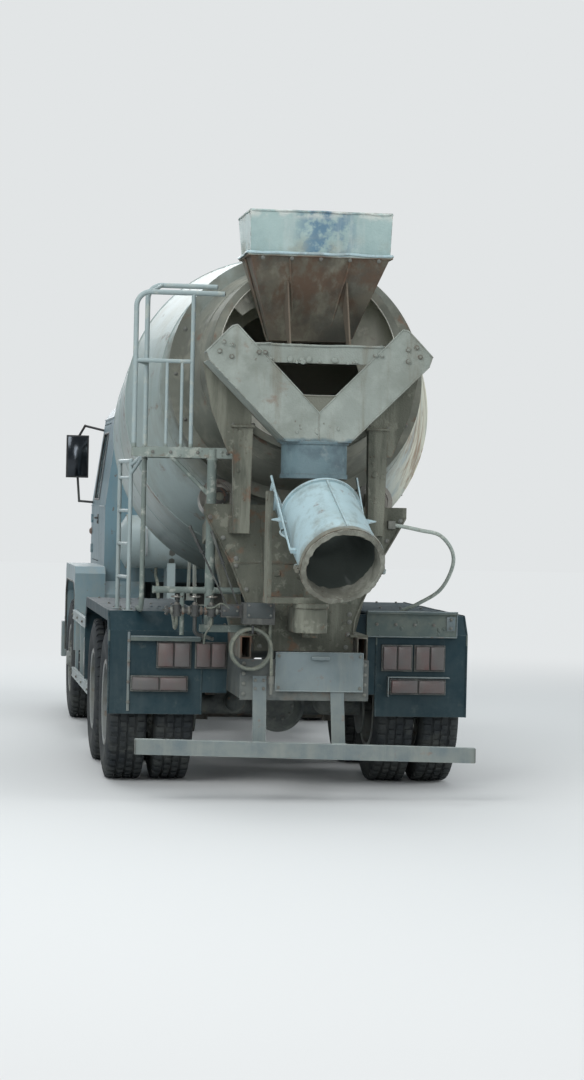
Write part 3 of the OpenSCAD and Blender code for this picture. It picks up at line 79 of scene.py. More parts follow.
# Local frames: the drum's axis runs forward from the mouth, the chute's runs down its slope
IN_DRUM = Matrix.Translation(MOUTH) @ Matrix.Rotation(math.pi / 2 + DRUM_SLOPE, 4, "X")
IN_CHUTE = (
    Matrix.Translation(CHUTE_PIVOT)
    @ Matrix.Rotation(CHUTE_TURN, 4, "Z")
    @ Matrix.Rotation(-math.pi / 2 - CHUTE_SLOPE, 4, "X")
)
DRUM_AXIS = IN_DRUM.to_3x3() @ Vector(UP)
CHUTE_AXIS = IN_CHUTE.to_3x3() @ Vector(UP)
FLIPPED = Matrix.Rotation(math.pi, 4, "X")
FINISH = {}


# Selecting and shaping


def deselect():
    if bpy.context.mode != "OBJECT":
        bpy.ops.object.mode_set(mode="OBJECT")
    bpy.ops.object.select_all(action="DESELECT")


def take(obj):
    deselect()
    obj.select_set(True)
    bpy.context.view_layer.objects.active = obj
    return obj


def open_mesh(obj, kind="FACE"):
    """Goes into edit mode with everything selected."""
    take(obj)
    bpy.ops.object.mode_set(mode="EDIT")
    bpy.ops.mesh.select_mode(type=kind)
    bpy.ops.mesh.select_all(action="SELECT")


def close_mesh():
    bpy.ops.object.mode_set(mode="OBJECT")


def close_shell(merge=None):
    """Merges doubles, turns every face outwards and leaves edit mode."""
    bpy.ops.mesh.select_all(action="SELECT")
    if merge:
        bpy.ops.mesh.remove_doubles(threshold=merge)
    bpy.ops.mesh.normals_make_consistent(inside=False)
    close_mesh()


def pick(obj, test):
    """Selects the faces that pass a test."""
    mesh = bmesh.from_edit_mesh(obj.data)
    bpy.ops.mesh.select_all(action="DESELECT")
    for face in mesh.faces:
        if test(face):
            face.select_set(True)
    mesh.select_flush(True)
    bmesh.update_edit_mesh(obj.data)


def inset(thickness, depth=0.0):
    bpy.ops.mesh.inset(thickness=thickness, depth=depth)


def apply_place(obj):
    take(obj)
    bpy.ops.object.transform_apply(location=True, rotation=True, scale=True)
    return obj


def placed(obj, place):
    obj.matrix_world = place
    return apply_place(obj)


def modified(obj, kind, **settings):
    """The piece with a modifier added and applied."""
    take(obj)
    modifier = obj.modifiers.new(kind.lower(), kind)
    for key, value in settings.items():
        setattr(modifier, key, value)
    bpy.ops.object.modifier_apply(modifier=modifier.name)
    return obj


def lumpy(obj, grain, strength):
    """The piece with a lumpy surface pushed into it."""
    noise = bpy.data.textures.new("lumps", "CLOUDS")
    noise.noise_scale = grain
    return modified(obj, "DISPLACE", texture=noise, texture_coords="LOCAL", strength=strength)


def block(low, high, edge=0.003, segments=2):
    """A bar or box between two corners, with eased edges."""
    low, high = Vector(low), Vector(high)
    deselect()
    bpy.ops.mesh.primitive_cube_add(size=1, location=(low + high) / 2)
    obj = bpy.context.object
    obj.scale = high - low
    apply_place(obj)
    open_mesh(obj)
    bpy.ops.mesh.bevel(offset=edge, segments=segments, affect="EDGES")
    close_mesh()
    return obj


def ring(places, fill="NOTHING"):
    """A ring with its corners at the given places, left in edit mode."""
    deselect()
    bpy.ops.mesh.primitive_circle_add(vertices=len(places), radius=1, fill_type=fill)
    obj = bpy.context.object
    open_mesh(obj, "VERT")
    for i, place in enumerate(places):
        mesh = bmesh.from_edit_mesh(obj.data)
        mesh.verts.ensure_lookup_table()
        bpy.ops.mesh.select_all(action="DESELECT")
        corner = mesh.verts[i]
        corner.select_set(True)
        bpy.ops.transform.translate(value=Vector(place) - corner.co)
    bpy.ops.mesh.select_all(action="SELECT")
    return obj


def turned(profile, steps=32, place=None):
    """A closed profile of radius and height, turned about Z, then put in its place."""
    obj = ring([(radius, 0, height) for radius, height in profile])
    bpy.ops.mesh.spin(steps=steps, angle=2 * math.pi, center=(0, 0, 0), axis=UP)
    close_shell(0.0002)
    return obj if place is None else placed(obj, place)


def rounded_route(points, radius, steps=5):
    """The points of a route with each corner rounded."""
    points = [Vector(p) for p in points]
    route = [points[0]]
    for before, corner, after in zip(points, points[1:], points[2:]):
        back, on = before - corner, after - corner
        cut = min(radius, back.length * 0.45, on.length * 0.45)
        start, end = corner + back.normalized() * cut, corner + on.normalized() * cut
        for k in range(steps + 1):
            t = k / steps
            route.append(start * (1 - t) ** 2 + corner * 2 * t * (1 - t) + end * t * t)
    return route + [points[-1]]


def tube(curve, route, radius, sides):
    """Makes a curve a round tube with closed ends along a route."""
    curve.dimensions = "3D"
    curve.bevel_depth = radius
    curve.bevel_resolution = sides
    curve.use_fill_caps = True
    spline = curve.splines.new("POLY")
    spline.points.add(len(route) - 1)
    for point, place in zip(spline.points, route):
        point.co = (*place, 1)


def bar(points, radius, corner=0.04, sides=3):
    """A bar, pipe, bead or wire along a route."""
    deselect()
    bpy.ops.curve.primitive_bezier_curve_add()
    obj = bpy.context.object
    obj.data.splines.clear()
    tube(obj.data, rounded_route(points, corner), radius, sides)
    obj.location = (0, 0, 0)
    take(obj)
    bpy.ops.object.convert(target="MESH")
    obj = bpy.context.object
    open_mesh(obj, "VERT")
    close_shell(0.0001)
    return obj


def at_y(y, points, side=1):
    """Points of X and Z at one station."""
    return [(side * x, y, z) for x, z in points]


def loop(points):
    """A closed route that starts in the middle of its first edge, so that every corner is rounded."""
    points = [Vector(p) for p in points]
    start = (points[0] + points[-1]) / 2
    return [start, *points, start]


def wavy(points, depth, seed):
    """A route broken into short lengths, each a little out of line, as beaten steel is."""
    rough = random.Random(seed)
    made = []
    for start, end in zip(points, points[1:]):
        start, end = Vector(start), Vector(end)
        steps = max(2, int((end - start).length / 0.09))
        for k in range(steps):
            made.append(start.lerp(end, k / steps) + Vector((0, 0, rough.uniform(-depth, depth) if k else 0)))
    return made + [Vector(points[-1])]


# Copying and joining


def copy_of(obj, place):
    twin = obj.copy()
    twin.data = obj.data.copy()
    bpy.context.collection.objects.link(twin)
    twin.matrix_world = place
    return twin


def remove(obj):
    take(obj)
    bpy.ops.object.delete()


def joined(pieces):
    """Several pieces made one."""
    deselect()
    for piece in pieces:
        piece.select_set(True)
    bpy.context.view_layer.objects.active = pieces[0]
    bpy.ops.object.join()
    return apply_place(bpy.context.object)


def many(master, places):
    """One model copied to each place. The model itself goes."""
    copies = [copy_of(master, place) for place in places]
    remove(master)
    return copies


def mirrored(obj):
    """The same piece on the truck's other side."""
    twin = apply_place(copy_of(obj, Matrix.Scale(-1, 4, Vector(LEFT))))
    open_mesh(twin, "VERT")
    close_shell()
    return twin


def with_twin(obj):
    return [obj, mirrored(obj)]


def put(name, pieces, finish, smooth=35, body="chassis"):
    """Makes pieces one, with a name, a finish and the body that carries it."""
    obj = joined(pieces if isinstance(pieces, list) else [pieces])
    obj.name = name
    obj.data.name = name
    bpy.ops.object.shade_smooth_by_angle(angle=math.radians(smooth))
    obj.data.materials.clear()
    obj.data.materials.append(FINISH[finish])
    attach(obj, body)
    return obj


def put_on_doors(name, piece, finish):
    """The same piece on the left and on the right door."""
    for door, obj in zip(("left", "right"), with_twin(piece)):
        put(f"{name}_{door}", obj, finish, body="door_" + door)


def facing(point, direction, turn=0.0):
    """A place whose Z points along a direction."""
    aim = Vector(direction).normalized().to_track_quat("Z", "Y").to_matrix().to_4x4()
    return Matrix.Translation(Vector(point)) @ aim @ Matrix.Rotation(turn, 4, "Z")


def row(start, end, count, way):
    """Places at equal steps from start to end, all facing one way."""
    start, end = Vector(start), Vector(end)
    return [facing(start.lerp(end, k / max(1, count - 1)), way, 0.7 * k) for k in range(count)]


def ring_of(count, radius, height, start=0.0, place=Matrix()):
    """Places round the axis of a local frame."""
    turn = 2 * math.pi / count
    spokes = [Matrix.Rotation(turn * i + start, 4, "Z") for i in range(count)]
    reach = Matrix.Translation((radius, 0, height))
    return [place @ (spoke @ reach @ Matrix.Rotation(0.3 * i, 4, "Z")) for i, spoke in enumerate(spokes)]


def both_ways(places):
    """The same places and their mirror images on the truck's other side."""
    twins = []
    for place in places:
        point = place.translation
        way = place.to_3x3() @ Vector(UP)
        twins.append(facing((-point.x, point.y, point.z), (-way.x, way.y, way.z), 0.4))
    return list(places) + twins


def bolts(name, places, size=0.012, height=0.010, finish="bolt", body="chassis"):
    """Hexagon bolt heads on their washers."""
    deselect()
    foot = height / 2 + 0.002
    bpy.ops.mesh.primitive_cylinder_add(vertices=6, radius=size, depth=height, location=(0, 0, foot))
    head = bpy.context.object
    open_mesh(head)
    pick(head, lambda face: face.normal.z > 0.9)
    inset(size * 0.22, height * 0.18)
    inset(size * 0.14)
    bpy.ops.mesh.extrude_region_move(TRANSFORM_OT_translate={"value": (0, 0, height * 0.3)})
    close_mesh()
    apply_place(head)
    washer = [(0, 0), (size * 1.35, 0), (size * 1.35, 0.002), (size * 1.25, 0.0035), (0, 0.0035)]
    return put(name, many(joined([head, turned(washer, 12)]), places), finish, 25, body)


def rings(name, finish, places, radius, wall=0.005, width=0.012):
    """Weld collars or bands round pipes."""
    half, inner, shoulder = width / 2, radius - 0.001, radius + wall * 0.7
    profile = [(inner, -half), (shoulder, -half), (radius + wall, 0), (shoulder, half), (inner, half)]
    return put(name, many(turned(profile, 16), places), finish, 40)


def lump(seed, size):
    """A flat lump of set slurry, about Z."""
    deselect()
    bpy.ops.mesh.primitive_ico_sphere_add(subdivisions=2, radius=size)
    obj = bpy.context.object
    obj.scale = (1, 0.8, 0.22)
    obj.location = (seed * 0.37, seed * 0.21, 0)
    lumpy(apply_place(obj), size * 0.8, size * 0.5)
    obj.location = (-seed * 0.37, -seed * 0.21, 0)
    return apply_place(obj)


def splashes(name, spots, seed, size, finish):
    """Lumps of slurry on flat areas. A spot is a corner, two edges, the outward way and a count."""
    rough = random.Random(seed)
    masters = [lump(seed + k, size) for k in range(3)]
    pieces = []
    for corner, across, up, way, count in spots:
        for k in range(count):
            point = Vector(corner) + Vector(across) * rough.random() + Vector(up) * rough.random()
            turn = facing(point, way, rough.uniform(0, 6.28))
            pieces.append(copy_of(masters[k % 3], turn @ Matrix.Scale(0.3 + 0.9 * rough.random() ** 2, 4)))
    for master in masters:
        remove(master)
    return put(name, pieces, finish, 60)


# Shading


def rgb(colour, factor=1.0):
    """A shader's colour, from an eye colour of three values of 0 to 255 or from a linear one of four."""
    if len(colour) == 3:
        colour = [((c / 255 + 0.055) / 1.055) ** 2.4 if c > 10 else c / 3294.6 for c in colour]
    return (*[min(1.0, c * factor) for c in colour[:3]], 1.0)


class Wires:
    """Short hand for building one node tree."""

    def __init__(self, tree):
        self.tree = tree

    def node(self, kind, inputs=None, **settings):
        made = self.tree.nodes.new("ShaderNode" + kind)
        for key, value in settings.items():
            setattr(made, key, value)
        for key, value in (inputs or {}).items():
            self.feed(made.inputs[key], value)
        return made

    def feed(self, socket, value):
        if isinstance(value, bpy.types.NodeSocket):
            self.tree.links.new(value, socket)
        else:
            socket.default_value = value

    def math(self, operation, a, b=0.0, clamp=False):
        return self.node("Math", {0: a, 1: b}, operation=operation, use_clamp=clamp).outputs[0]

    def times(self, a, b, clamp=False):
        return self.math("MULTIPLY", a, b, clamp)

    def plus(self, a, b):
        return self.math("ADD", a, b)

    def minus(self, a, b):
        return self.math("SUBTRACT", a, b)

    def size(self, a):
        return self.math("ABSOLUTE", a)

    def wave(self, a, pitch):
        return self.math("SINE", self.times(a, pitch))

    def vector(self, operation, a, b):
        return self.node("VectorMath", {0: a, 1: b}, operation=operation).outputs

    def ramp(self, value, low, high):
        """0 at low, 1 at high, smooth between."""
        ends = {"Value": value, "From Min": low, "From Max": high}
        return self.node("MapRange", ends, interpolation_type="SMOOTHSTEP").outputs[0]

    def mix(self, factor, a, b):
        return self.node("Mix", {0: factor, 6: a, 7: b}, data_type="RGBA").outputs[2]

    def blend(self, factor, a, b):
        return self.node("Mix", {0: factor, 2: a, 3: b}, data_type="FLOAT").outputs[0]

    def place(self):
        return self.node("TexCoord").outputs["Object"]

    def axes(self, vector=None):
        return self.node("SeparateXYZ", {0: vector or self.place()}).outputs[:3]

    def normal(self):
        return self.node("NewGeometry").outputs["Normal"]

    def clouds(self, vector, scale, detail, roughness):
        inputs = {"Vector": vector, "Scale": scale, "Detail": detail, "Roughness": roughness}
        return self.node("TexNoise", inputs).outputs["Fac"]

    def noise(self, scale, detail=5.0, roughness=0.6):
        return self.clouds(self.place(), scale, detail, roughness)

    def group(self, group, inputs):
        return self.node("Group", inputs, node_tree=group).outputs


def new_group(name, inputs, outputs):
    """A node group with its inputs and their values, its wires, and its two ends."""
    group = bpy.data.node_groups.new(name, "ShaderNodeTree")
    for label, value in inputs.items():
        group.interface.new_socket(label, in_out="INPUT", socket_type="NodeSocketFloat").default_value = value
    for label in outputs:
        group.interface.new_socket(label, in_out="OUTPUT", socket_type="NodeSocketFloat")
    given = group.nodes.new("NodeGroupInput").outputs
    return group, Wires(group), given, group.nodes.new("NodeGroupOutput").inputs


def cover_mask(w, given, noise):
    """The part of a noise that the share given as Cover takes up, with soft edges."""
    span = {"Value": given["Cover"], "From Min": 0.0, "From Max": 1.0, "To Min": 0.72, "To Max": 0.28}
    middle = w.node("MapRange", span).outputs[0]
    return w.ramp(noise, w.minus(middle, given["Edge"]), w.plus(middle, given["Edge"]))


def patches_group():
    """Soft irregular patches. Cover is the share of the surface inside them."""
    values = {"Scale": 3.0, "Cover": 0.4, "Edge": 0.08, "Shift": 0.0}
    group, w, given, out = new_group("Patches", values, ["Mask"])
    shift = w.node("CombineXYZ", {axis: given["Shift"] for axis in "XYZ"}).outputs[0]
    noise = w.clouds(w.vector("ADD", w.place(), shift)[0], given["Scale"], 6.0, 0.62)
    w.feed(out["Mask"], cover_mask(w, given, noise))
    return group


def runs_group():
    """Streaks that water and slurry leave as they run down."""
    values = {"Width": 9.0, "Cover": 0.4, "Edge": 0.07, "Shift": 0.0}
    group, w, given, out = new_group("Runs", values, ["Mask"])
    x, y, z = w.axes()
    flat = w.node("CombineXYZ", {"X": w.plus(x, given["Shift"]), "Y": y, "Z": w.times(z, 0.12)}).outputs[0]
    w.feed(out["Mask"], cover_mask(w, given, w.clouds(flat, given["Width"], 5.0, 0.65)))
    return group


def dust_group():
    """Road dust: thick near the ground and on faces that look up."""
    values = {"Top": 1.4, "Base": 0.2, "Amount": 0.6, "Settled": 0.5}
    group, w, given, out = new_group("Road dust", values, ["Mask"])
    rise = w.ramp(w.axes()[2], given["Top"], given["Base"])
    lying = w.times(w.ramp(w.axes(w.normal())[2], 0.35, 0.95), given["Settled"])
    grain = w.ramp(w.noise(5.0, 7.0, 0.7), 0.28, 0.66)
    w.feed(out["Mask"], w.times(w.times(w.math("MAXIMUM", rise, lying), grain), given["Amount"], True))
    return group


def edges_group():
    """Worn edges: where the surface turns within a few millimetres."""
    group, w, given, out = new_group("Worn edges", {"Reach": 0.006, "Strength": 1.0}, ["Mask"])
    round_normal = w.node("Bevel", {"Radius": given["Reach"]}, samples=4).outputs[0]
    agree = w.vector("DOT_PRODUCT", round_normal, w.normal())["Value"]
    chip = w.ramp(w.noise(28.0, 4.0, 0.7), 0.42, 0.56)
    w.feed(out["Mask"], w.times(w.times(w.ramp(agree, 0.995, 0.88), chip), given["Strength"], True))
    return group


def crust_group():
    """Dried mud and cement: a coarse lumpy height with fine grit on it."""
    group, w, given, out = new_group("Crust", {"Coarse": 9.0, "Grit": 90.0}, ["Height"])
    lumps = w.clouds(w.place(), given["Coarse"], 7.0, 0.68)
    cells = w.node("TexVoronoi", {"Vector": w.place(), "Scale": given["Grit"]}).outputs["Distance"]
    w.feed(out["Height"], w.plus(lumps, w.times(cells, 0.18)))
    return group


EFFECTS = {
    "patches": patches_group,
    "runs": runs_group,
    "dust": dust_group,
    "edges": edges_group,
    "crust": crust_group,
}
SHARED = {}


def shared(name):
    """A node group that several materials use, built once."""
    if name not in SHARED:
        SHARED[name] = EFFECTS[name]()
    return SHARED[name]


class Coat:
    """One material being built up in coats over a base colour."""

    def __init__(self, name, base, rough=0.5, metal=0.0):
        self.material = bpy.data.materials.new(name)
        self.material.use_nodes = True
        self.w = Wires(self.material.node_tree)
        self.sockets = self.material.node_tree.nodes["Principled BSDF"].inputs
        self.colour, self.rough, self.metal = rgb(base), rough, metal
        self.relief = None

    def mask(self, effect, **values):
        inputs = {key.capitalize(): value for key, value in values.items()}
        return self.w.group(shared(effect), inputs)["Mask"]

    def cover(self, mask, colour, rough=None, metal=None):
        self.colour = self.w.mix(mask, self.colour, rgb(colour))
        if rough is not None:
            self.rough = self.w.blend(mask, self.rough, rough)
        if metal is not None and (metal or not isinstance(self.metal, float) or self.metal):
            self.metal = self.w.blend(mask, self.metal, metal)
        return self

    def limited(self, mask, amount, within):
        if within is not None:
            mask = self.w.times(mask, within)
        return self.w.times(mask, amount) if amount != 1.0 else mask

    def patches(self, colour, scale, cover, edge, amount, shift=0.0, rough=None, within=None, metal=None):
        mask = self.mask("patches", scale=scale, cover=cover, edge=edge, shift=shift)
        return self.cover(self.limited(mask, amount, within), colour, rough, metal)

    def runs(self, colour, width, cover, edge, amount, shift=0.0, rough=None, within=None):
        mask = self.mask("runs", width=width, cover=cover, edge=edge, shift=shift)
        return self.cover(self.limited(mask, amount, within), colour, rough)

    def dust(self, colour, top, base, amount, settled):
        mask = self.mask("dust", top=top, base=base, amount=amount, settled=settled)
        return self.cover(mask, colour, 0.92, 0.0)

    def worn(self, colour, reach, strength, rough, metal=0.0):
        return self.cover(self.mask("edges", reach=reach, strength=strength), colour, rough, metal)

    def bump(self, height, strength, distance):
        self.relief = {"Height": height, "Strength": strength, "Distance": distance}

    def crust(self, coarse, grit, strength, distance):
        height = self.w.group(shared("crust"), {"Coarse": coarse, "Grit": grit})["Height"]
        self.bump(height, strength, distance)

    def done(self, **sockets):
        values = {"Base Color": self.colour, "Roughness": self.rough, "Metallic": self.metal}
        if self.relief:
            values["Normal"] = self.w.node("Bump", self.relief).outputs[0]
        for name, value in values.items():
            self.w.feed(self.sockets[name], value)
        for name, value in sockets.items():
            self.sockets[name.replace("_", " ")].default_value = value
        return self.material


def coat_on_axes(name, base, rough):
    """A coat with its wires and the three axes."""
    coat = Coat(name, base, rough)
    return coat, coat.w, *coat.w.axes()


MUD = (120, 118, 106)
DUST = (136, 140, 132)
RUST = (114, 78, 56)
OLD_RUST = (78, 60, 48)
BARE_STEEL = (116, 120, 122)


def facing_axis(w, point, direction):
    """1 where a wall faces a given axis, as the inside of a tube does, and 0 where it faces away."""
    rel = w.vector("SUBTRACT", w.place(), tuple(point))[0]
    along = w.vector("DOT_PRODUCT", rel, tuple(direction))["Value"]
    on_axis = w.node("VectorMath", {0: tuple(direction), "Scale": along}, operation="SCALE").outputs[0]
    radial = w.vector("SUBTRACT", rel, on_axis)[0]
    return w.ramp(w.vector("DOT_PRODUCT", w.normal(), radial)["Value"], -0.02, -0.08)


def finish_drum(colours):
    coat, w, x, y, z = coat_on_axes("drum paint", colours.drum, 0.42)
    coat.patches((130, 144, 140), 1.4, 0.45, 0.2, 0.6)
    coat.runs((122, 126, 114), 5.0, 0.38, 0.14, 0.5)
    # Slurry that ran down the right flank
    flank = w.ramp(x, -0.62, -0.95)
    coat.runs((206, 206, 188), 7.0, 0.62, 0.1, 0.85, 3.0, 0.6, flank)
    coat.runs((128, 100, 74), 10.0, 0.4, 0.08, 0.8, 7.0, 0.8, flank)
    # Mud from the mouth down to the drip ring, and thin beyond it
    mouth_side = w.plus(y, w.times(w.noise(2.2), 0.7))
    coat.cover(w.times(w.ramp(mouth_side, 2.7, 3.1), 0.92), (112, 114, 104), 0.9)
    coat.patches((92, 94, 86), 3.0, 0.5, 0.16, 0.7, 5.0, 0.92, w.ramp(mouth_side, 2.7, 3.0))
    coat.patches((142, 142, 130), 5.5, 0.35, 0.1, 0.55, 9.0, 0.9, w.ramp(mouth_side, 2.8, 3.1))
    # Darker towards the bottom of the drum
    low = w.ramp(w.plus(z, w.times(w.noise(1.6), 0.8)), 2.5, 1.8)
    coat.cover(w.times(low, 0.75), (98, 108, 102), 0.85)
    coat.patches(RUST, 6.0, 0.16, 0.05, 0.55, 2.0, 0.9)
    # Set cement on the walls inside, painted paler than set cement as painted light for the light that
    # reaches into the drum
    coat.cover(facing_axis(w, MOUTH, DRUM_AXIS), (214, 214, 204), 0.92)
    coat.crust(7.0, 70.0, 0.22, 0.012)
    return coat.done(Coat_Weight=0.08)


def finish_hopper(colours):
    coat, w, x, y, z = coat_on_axes("hopper plate", colours.hopper, 0.5)
    lip = w.plus(z, w.times(w.noise(5.0, 4.0), 0.03))
    collar = w.ramp(lip, 3.575, 3.592)
    funnel = w.ramp(lip, 3.592, 3.575)
    coat.patches((122, 146, 146), 2.8, 0.45, 0.16, 0.7)
    middle = w.ramp(w.size(w.plus(x, 0.03)), 0.26, 0.06)
    coat.patches((64, 104, 132), 13.0, 0.52, 0.08, 0.8, 4.0, 0.6, w.times(collar, middle))
    coat.patches((196, 200, 194), 9.0, 0.5, 0.08, 0.8, 3.0, 0.7, w.ramp(z, 3.79, 3.84))
    coat.runs((172, 184, 182), 6.0, 0.34, 0.1, 0.6, 1.0, 0.6)
    coat.patches((140, 140, 126), 5.0, 0.38, 0.12, 0.7, 8.0, 0.8, w.ramp(z, 3.74, 3.6))
    coat.cover(funnel, (104, 100, 88), 0.9)
    coat.runs((140, 138, 124), 7.0, 0.42, 0.12, 0.7, 2.0, 0.9, funnel)
    coat.runs((98, 78, 64), 8.0, 0.5, 0.09, 0.85, 6.0, 0.92, w.times(funnel, w.ramp(z, 2.95, 3.4)))
    coat.patches((80, 82, 76), 4.0, 0.36, 0.12, 0.7, 5.0, 0.92, funnel)
    # Darker low and to the right
    low_right = w.ramp(w.plus(z, w.times(x, 0.6)), 3.12, 2.96)
    coat.cover(w.times(w.times(funnel, low_right), 0.8), (62, 62, 56), 0.8)
    coat.worn(RUST, 0.008, 0.8, 0.9)
    coat.crust(8.0, 80.0, 0.35, 0.014)
    return coat.done()


def finish_slurry(name, base, light, dark, strength=0.5, rust=0.2, shift=0.0):
    """Steel under dried slurry: the arms, walls, posts and apron."""
    coat = Coat(name, base, 0.86)
    coat.patches(dark, 2.4, 0.45, 0.14, 0.8, shift, 0.92)
    coat.runs(light, 6.0, 0.4, 0.09, 0.7, shift + 2, 0.88)
    coat.patches(light, 9.0, 0.26, 0.04, 0.6, shift + 5, 0.85)
    coat.patches(RUST, 5.0, rust, 0.06, 0.6, shift + 8, 0.92)
    coat.worn(OLD_RUST, 0.007, 0.7, 0.9)
    coat.crust(10.0, 85.0, strength, 0.014)
    return coat.done()


def finish_collector():
    coat, w, x, y, z = coat_on_axes("collector plate", (136, 144, 138), 0.84)
    coat.patches((116, 122, 114), 2.2, 0.45, 0.2, 0.75, 1.0, 0.9)
    coat.patches((160, 168, 162), 4.0, 0.4, 0.14, 0.6, 6.0, 0.8)
    coat.runs((104, 98, 84), 8.0, 0.3, 0.1, 0.55, 3.0, 0.9)
    coat.patches(RUST, 6.0, 0.15, 0.07, 0.5, 9.0, 0.9)
    gusset = w.times(w.ramp(w.size(x), 0.215, 0.205), w.ramp(z, 2.992, 2.998))
    coat.cover(gusset, (96, 88, 76), 0.9)
    # Plate let in between the arms below the opening
    inlet = w.ramp(w.minus(w.size(x), w.minus(z, 2.555)), 0.003, -0.003)
    coat.cover(w.times(inlet, w.ramp(z, 2.668, 2.66)), (106, 108, 98), 0.9)
    throat = w.ramp(w.plus(z, w.times(w.noise(7.0, 4.0), 0.08)), 2.43, 2.40)
    coat.cover(throat, (92, 114, 120), 0.55)
    coat.patches((66, 84, 92), 6.0, 0.42, 0.12, 0.8, 4.0, 0.6, throat)
    coat.patches((132, 144, 144), 8.0, 0.25, 0.08, 0.6, 7.0, 0.7, throat)
    coat.worn(OLD_RUST, 0.007, 0.75, 0.9)
    coat.crust(10.0, 85.0, 0.4, 0.014)
    return coat.done()


def finish_chute(colours):
    coat, w, x, y, z = coat_on_axes("chute paint", colours.chute, 0.45)
    coat.patches((144, 166, 170), 3.0, 0.45, 0.18, 0.6)
    coat.runs((118, 126, 122), 9.0, 0.3, 0.1, 0.5, 3.0, 0.7)
    # The lower end is caked
    low = w.plus(w.minus(y, w.times(z, 0.6)), w.times(w.noise(7.0), 0.16))
    coat.cover(w.ramp(low, 3.44, 3.54), (104, 104, 94), 0.92)
    coat.patches((134, 134, 122), 10.0, 0.32, 0.1, 0.65, 6.0, 0.9, w.ramp(low, 3.2, 3.45))
    coat.patches(RUST, 8.0, 0.16, 0.06, 0.6, 2.0, 0.9)
    coat.worn(RUST, 0.006, 0.8, 0.85)
    # Painted shade: the inside of the trough is painted darker, for the shade that falls in its hollow
    coat.cover(facing_axis(w, CHUTE_PIVOT, CHUTE_AXIS), (74, 82, 78), 0.9)
    coat.crust(12.0, 90.0, 0.3, 0.01)
    return coat.done(Coat_Weight=0.1)


def finish_paint(name, base, dark, rough=0.35, dust_top=1.9, dust_amount=0.7, coat_weight=0.25):
    """Sprayed paint with road dust and small chips."""
    coat = Coat(name, base, rough)
    coat.patches(dark, 1.8, 0.42, 0.2, 0.45)
    coat.runs(DUST, 11.0, 0.3, 0.1, 0.35, 2.0, 0.7)
    coat.patches((96, 74, 58), 16.0, 0.12, 0.03, 0.7, 5.0, 0.8)
    coat.worn(BARE_STEEL, 0.005, 0.6, 0.5)
    coat.dust(DUST, dust_top, 0.3, dust_amount, 0.55)
    coat.bump(coat.w.noise(60.0, 3.0), 0.05, 0.002)
    return coat.done(Coat_Weight=coat_weight, Coat_Roughness=0.25)


def finish_steel(name, base, rough, metal, rust, dust):
    coat = Coat(name, base, rough, metal)
    coat.patches(OLD_RUST, 5.0, rust, 0.1, 0.8, 1.0, 0.9, metal=0.0)
    coat.patches(RUST, 14.0, rust * 0.6, 0.05, 0.8, 6.0, 0.92, metal=0.0)
    coat.worn(BARE_STEEL, 0.005, 0.5, 0.4, 0.7)
    coat.dust(DUST, 1.5, 0.2, dust, 0.5)
    coat.bump(coat.w.noise(45.0), 0.15, 0.003)
    return coat.done()


def finish_guard(colours):
    coat, w, x, y, z = coat_on_axes("mudguard paint", colours.guard, 0.5)
    coat.patches((18, 40, 48), 2.0, 0.45, 0.2, 0.6)
    coat.runs((60, 72, 76), 9.0, 0.28, 0.1, 0.5, 2.0, 0.85)
    coat.patches((84, 92, 90), 12.0, 0.16, 0.06, 0.4, 4.0, 0.9)
    # The boards over the lamps are paler and dusty
    board = w.times(w.ramp(y, 2.7705, 2.7725), w.ramp(z, 0.995, 1.0))
    coat.cover(board, (86, 98, 96), 0.8)
    coat.patches((116, 122, 114), 5.0, 0.45, 0.14, 0.7, 7.0, 0.9, board)
    coat.worn((112, 114, 108), 0.006, 0.65, 0.7)
    coat.dust((82, 94, 96), 1.6, 0.35, 0.32, 0.6)
    coat.bump(w.noise(30.0), 0.1, 0.004)
    return coat.done(Specular_IOR_Level=0.2)


def finish_bar(colours):
    """The underride bar with its brackets, and the pale plate above it."""
    coat, w, x, y, z = coat_on_axes("bar paint", colours.bar, 0.5)
    coat.patches((76, 88, 92), 1.8, 0.42, 0.2, 0.5)
    plate = w.times(w.ramp(z, 0.716, 0.72), w.times(w.ramp(x, -0.394, -0.391), w.ramp(x, 0.201, 0.198)))
    coat.cover(plate, (104, 118, 122), 0.6)
    coat.patches((86, 98, 100), 3.0, 0.4, 0.2, 0.6, 3.0, 0.8, plate)
    coat.runs(DUST, 11.0, 0.3, 0.12, 0.4, 2.0, 0.8)
    coat.patches(RUST, 13.0, 0.15, 0.05, 0.6, 5.0, 0.9)
    coat.worn((150, 158, 158), 0.006, 0.7, 0.6)
    coat.dust(DUST, 1.2, 0.2, 0.55, 0.6)
    # Up-facing faces paler: a painted highlight where light falls on the bar's top, with settled dust on it
    top = w.ramp(w.axes(w.normal())[2], 0.6, 0.9)
    coat.patches((172, 182, 178), 9.0, 0.7, 0.2, 0.8, 8.0, 0.85, top)
    coat.bump(w.noise(40.0, 4.0), 0.12, 0.004)
    return coat.done(Coat_Weight=0.05)


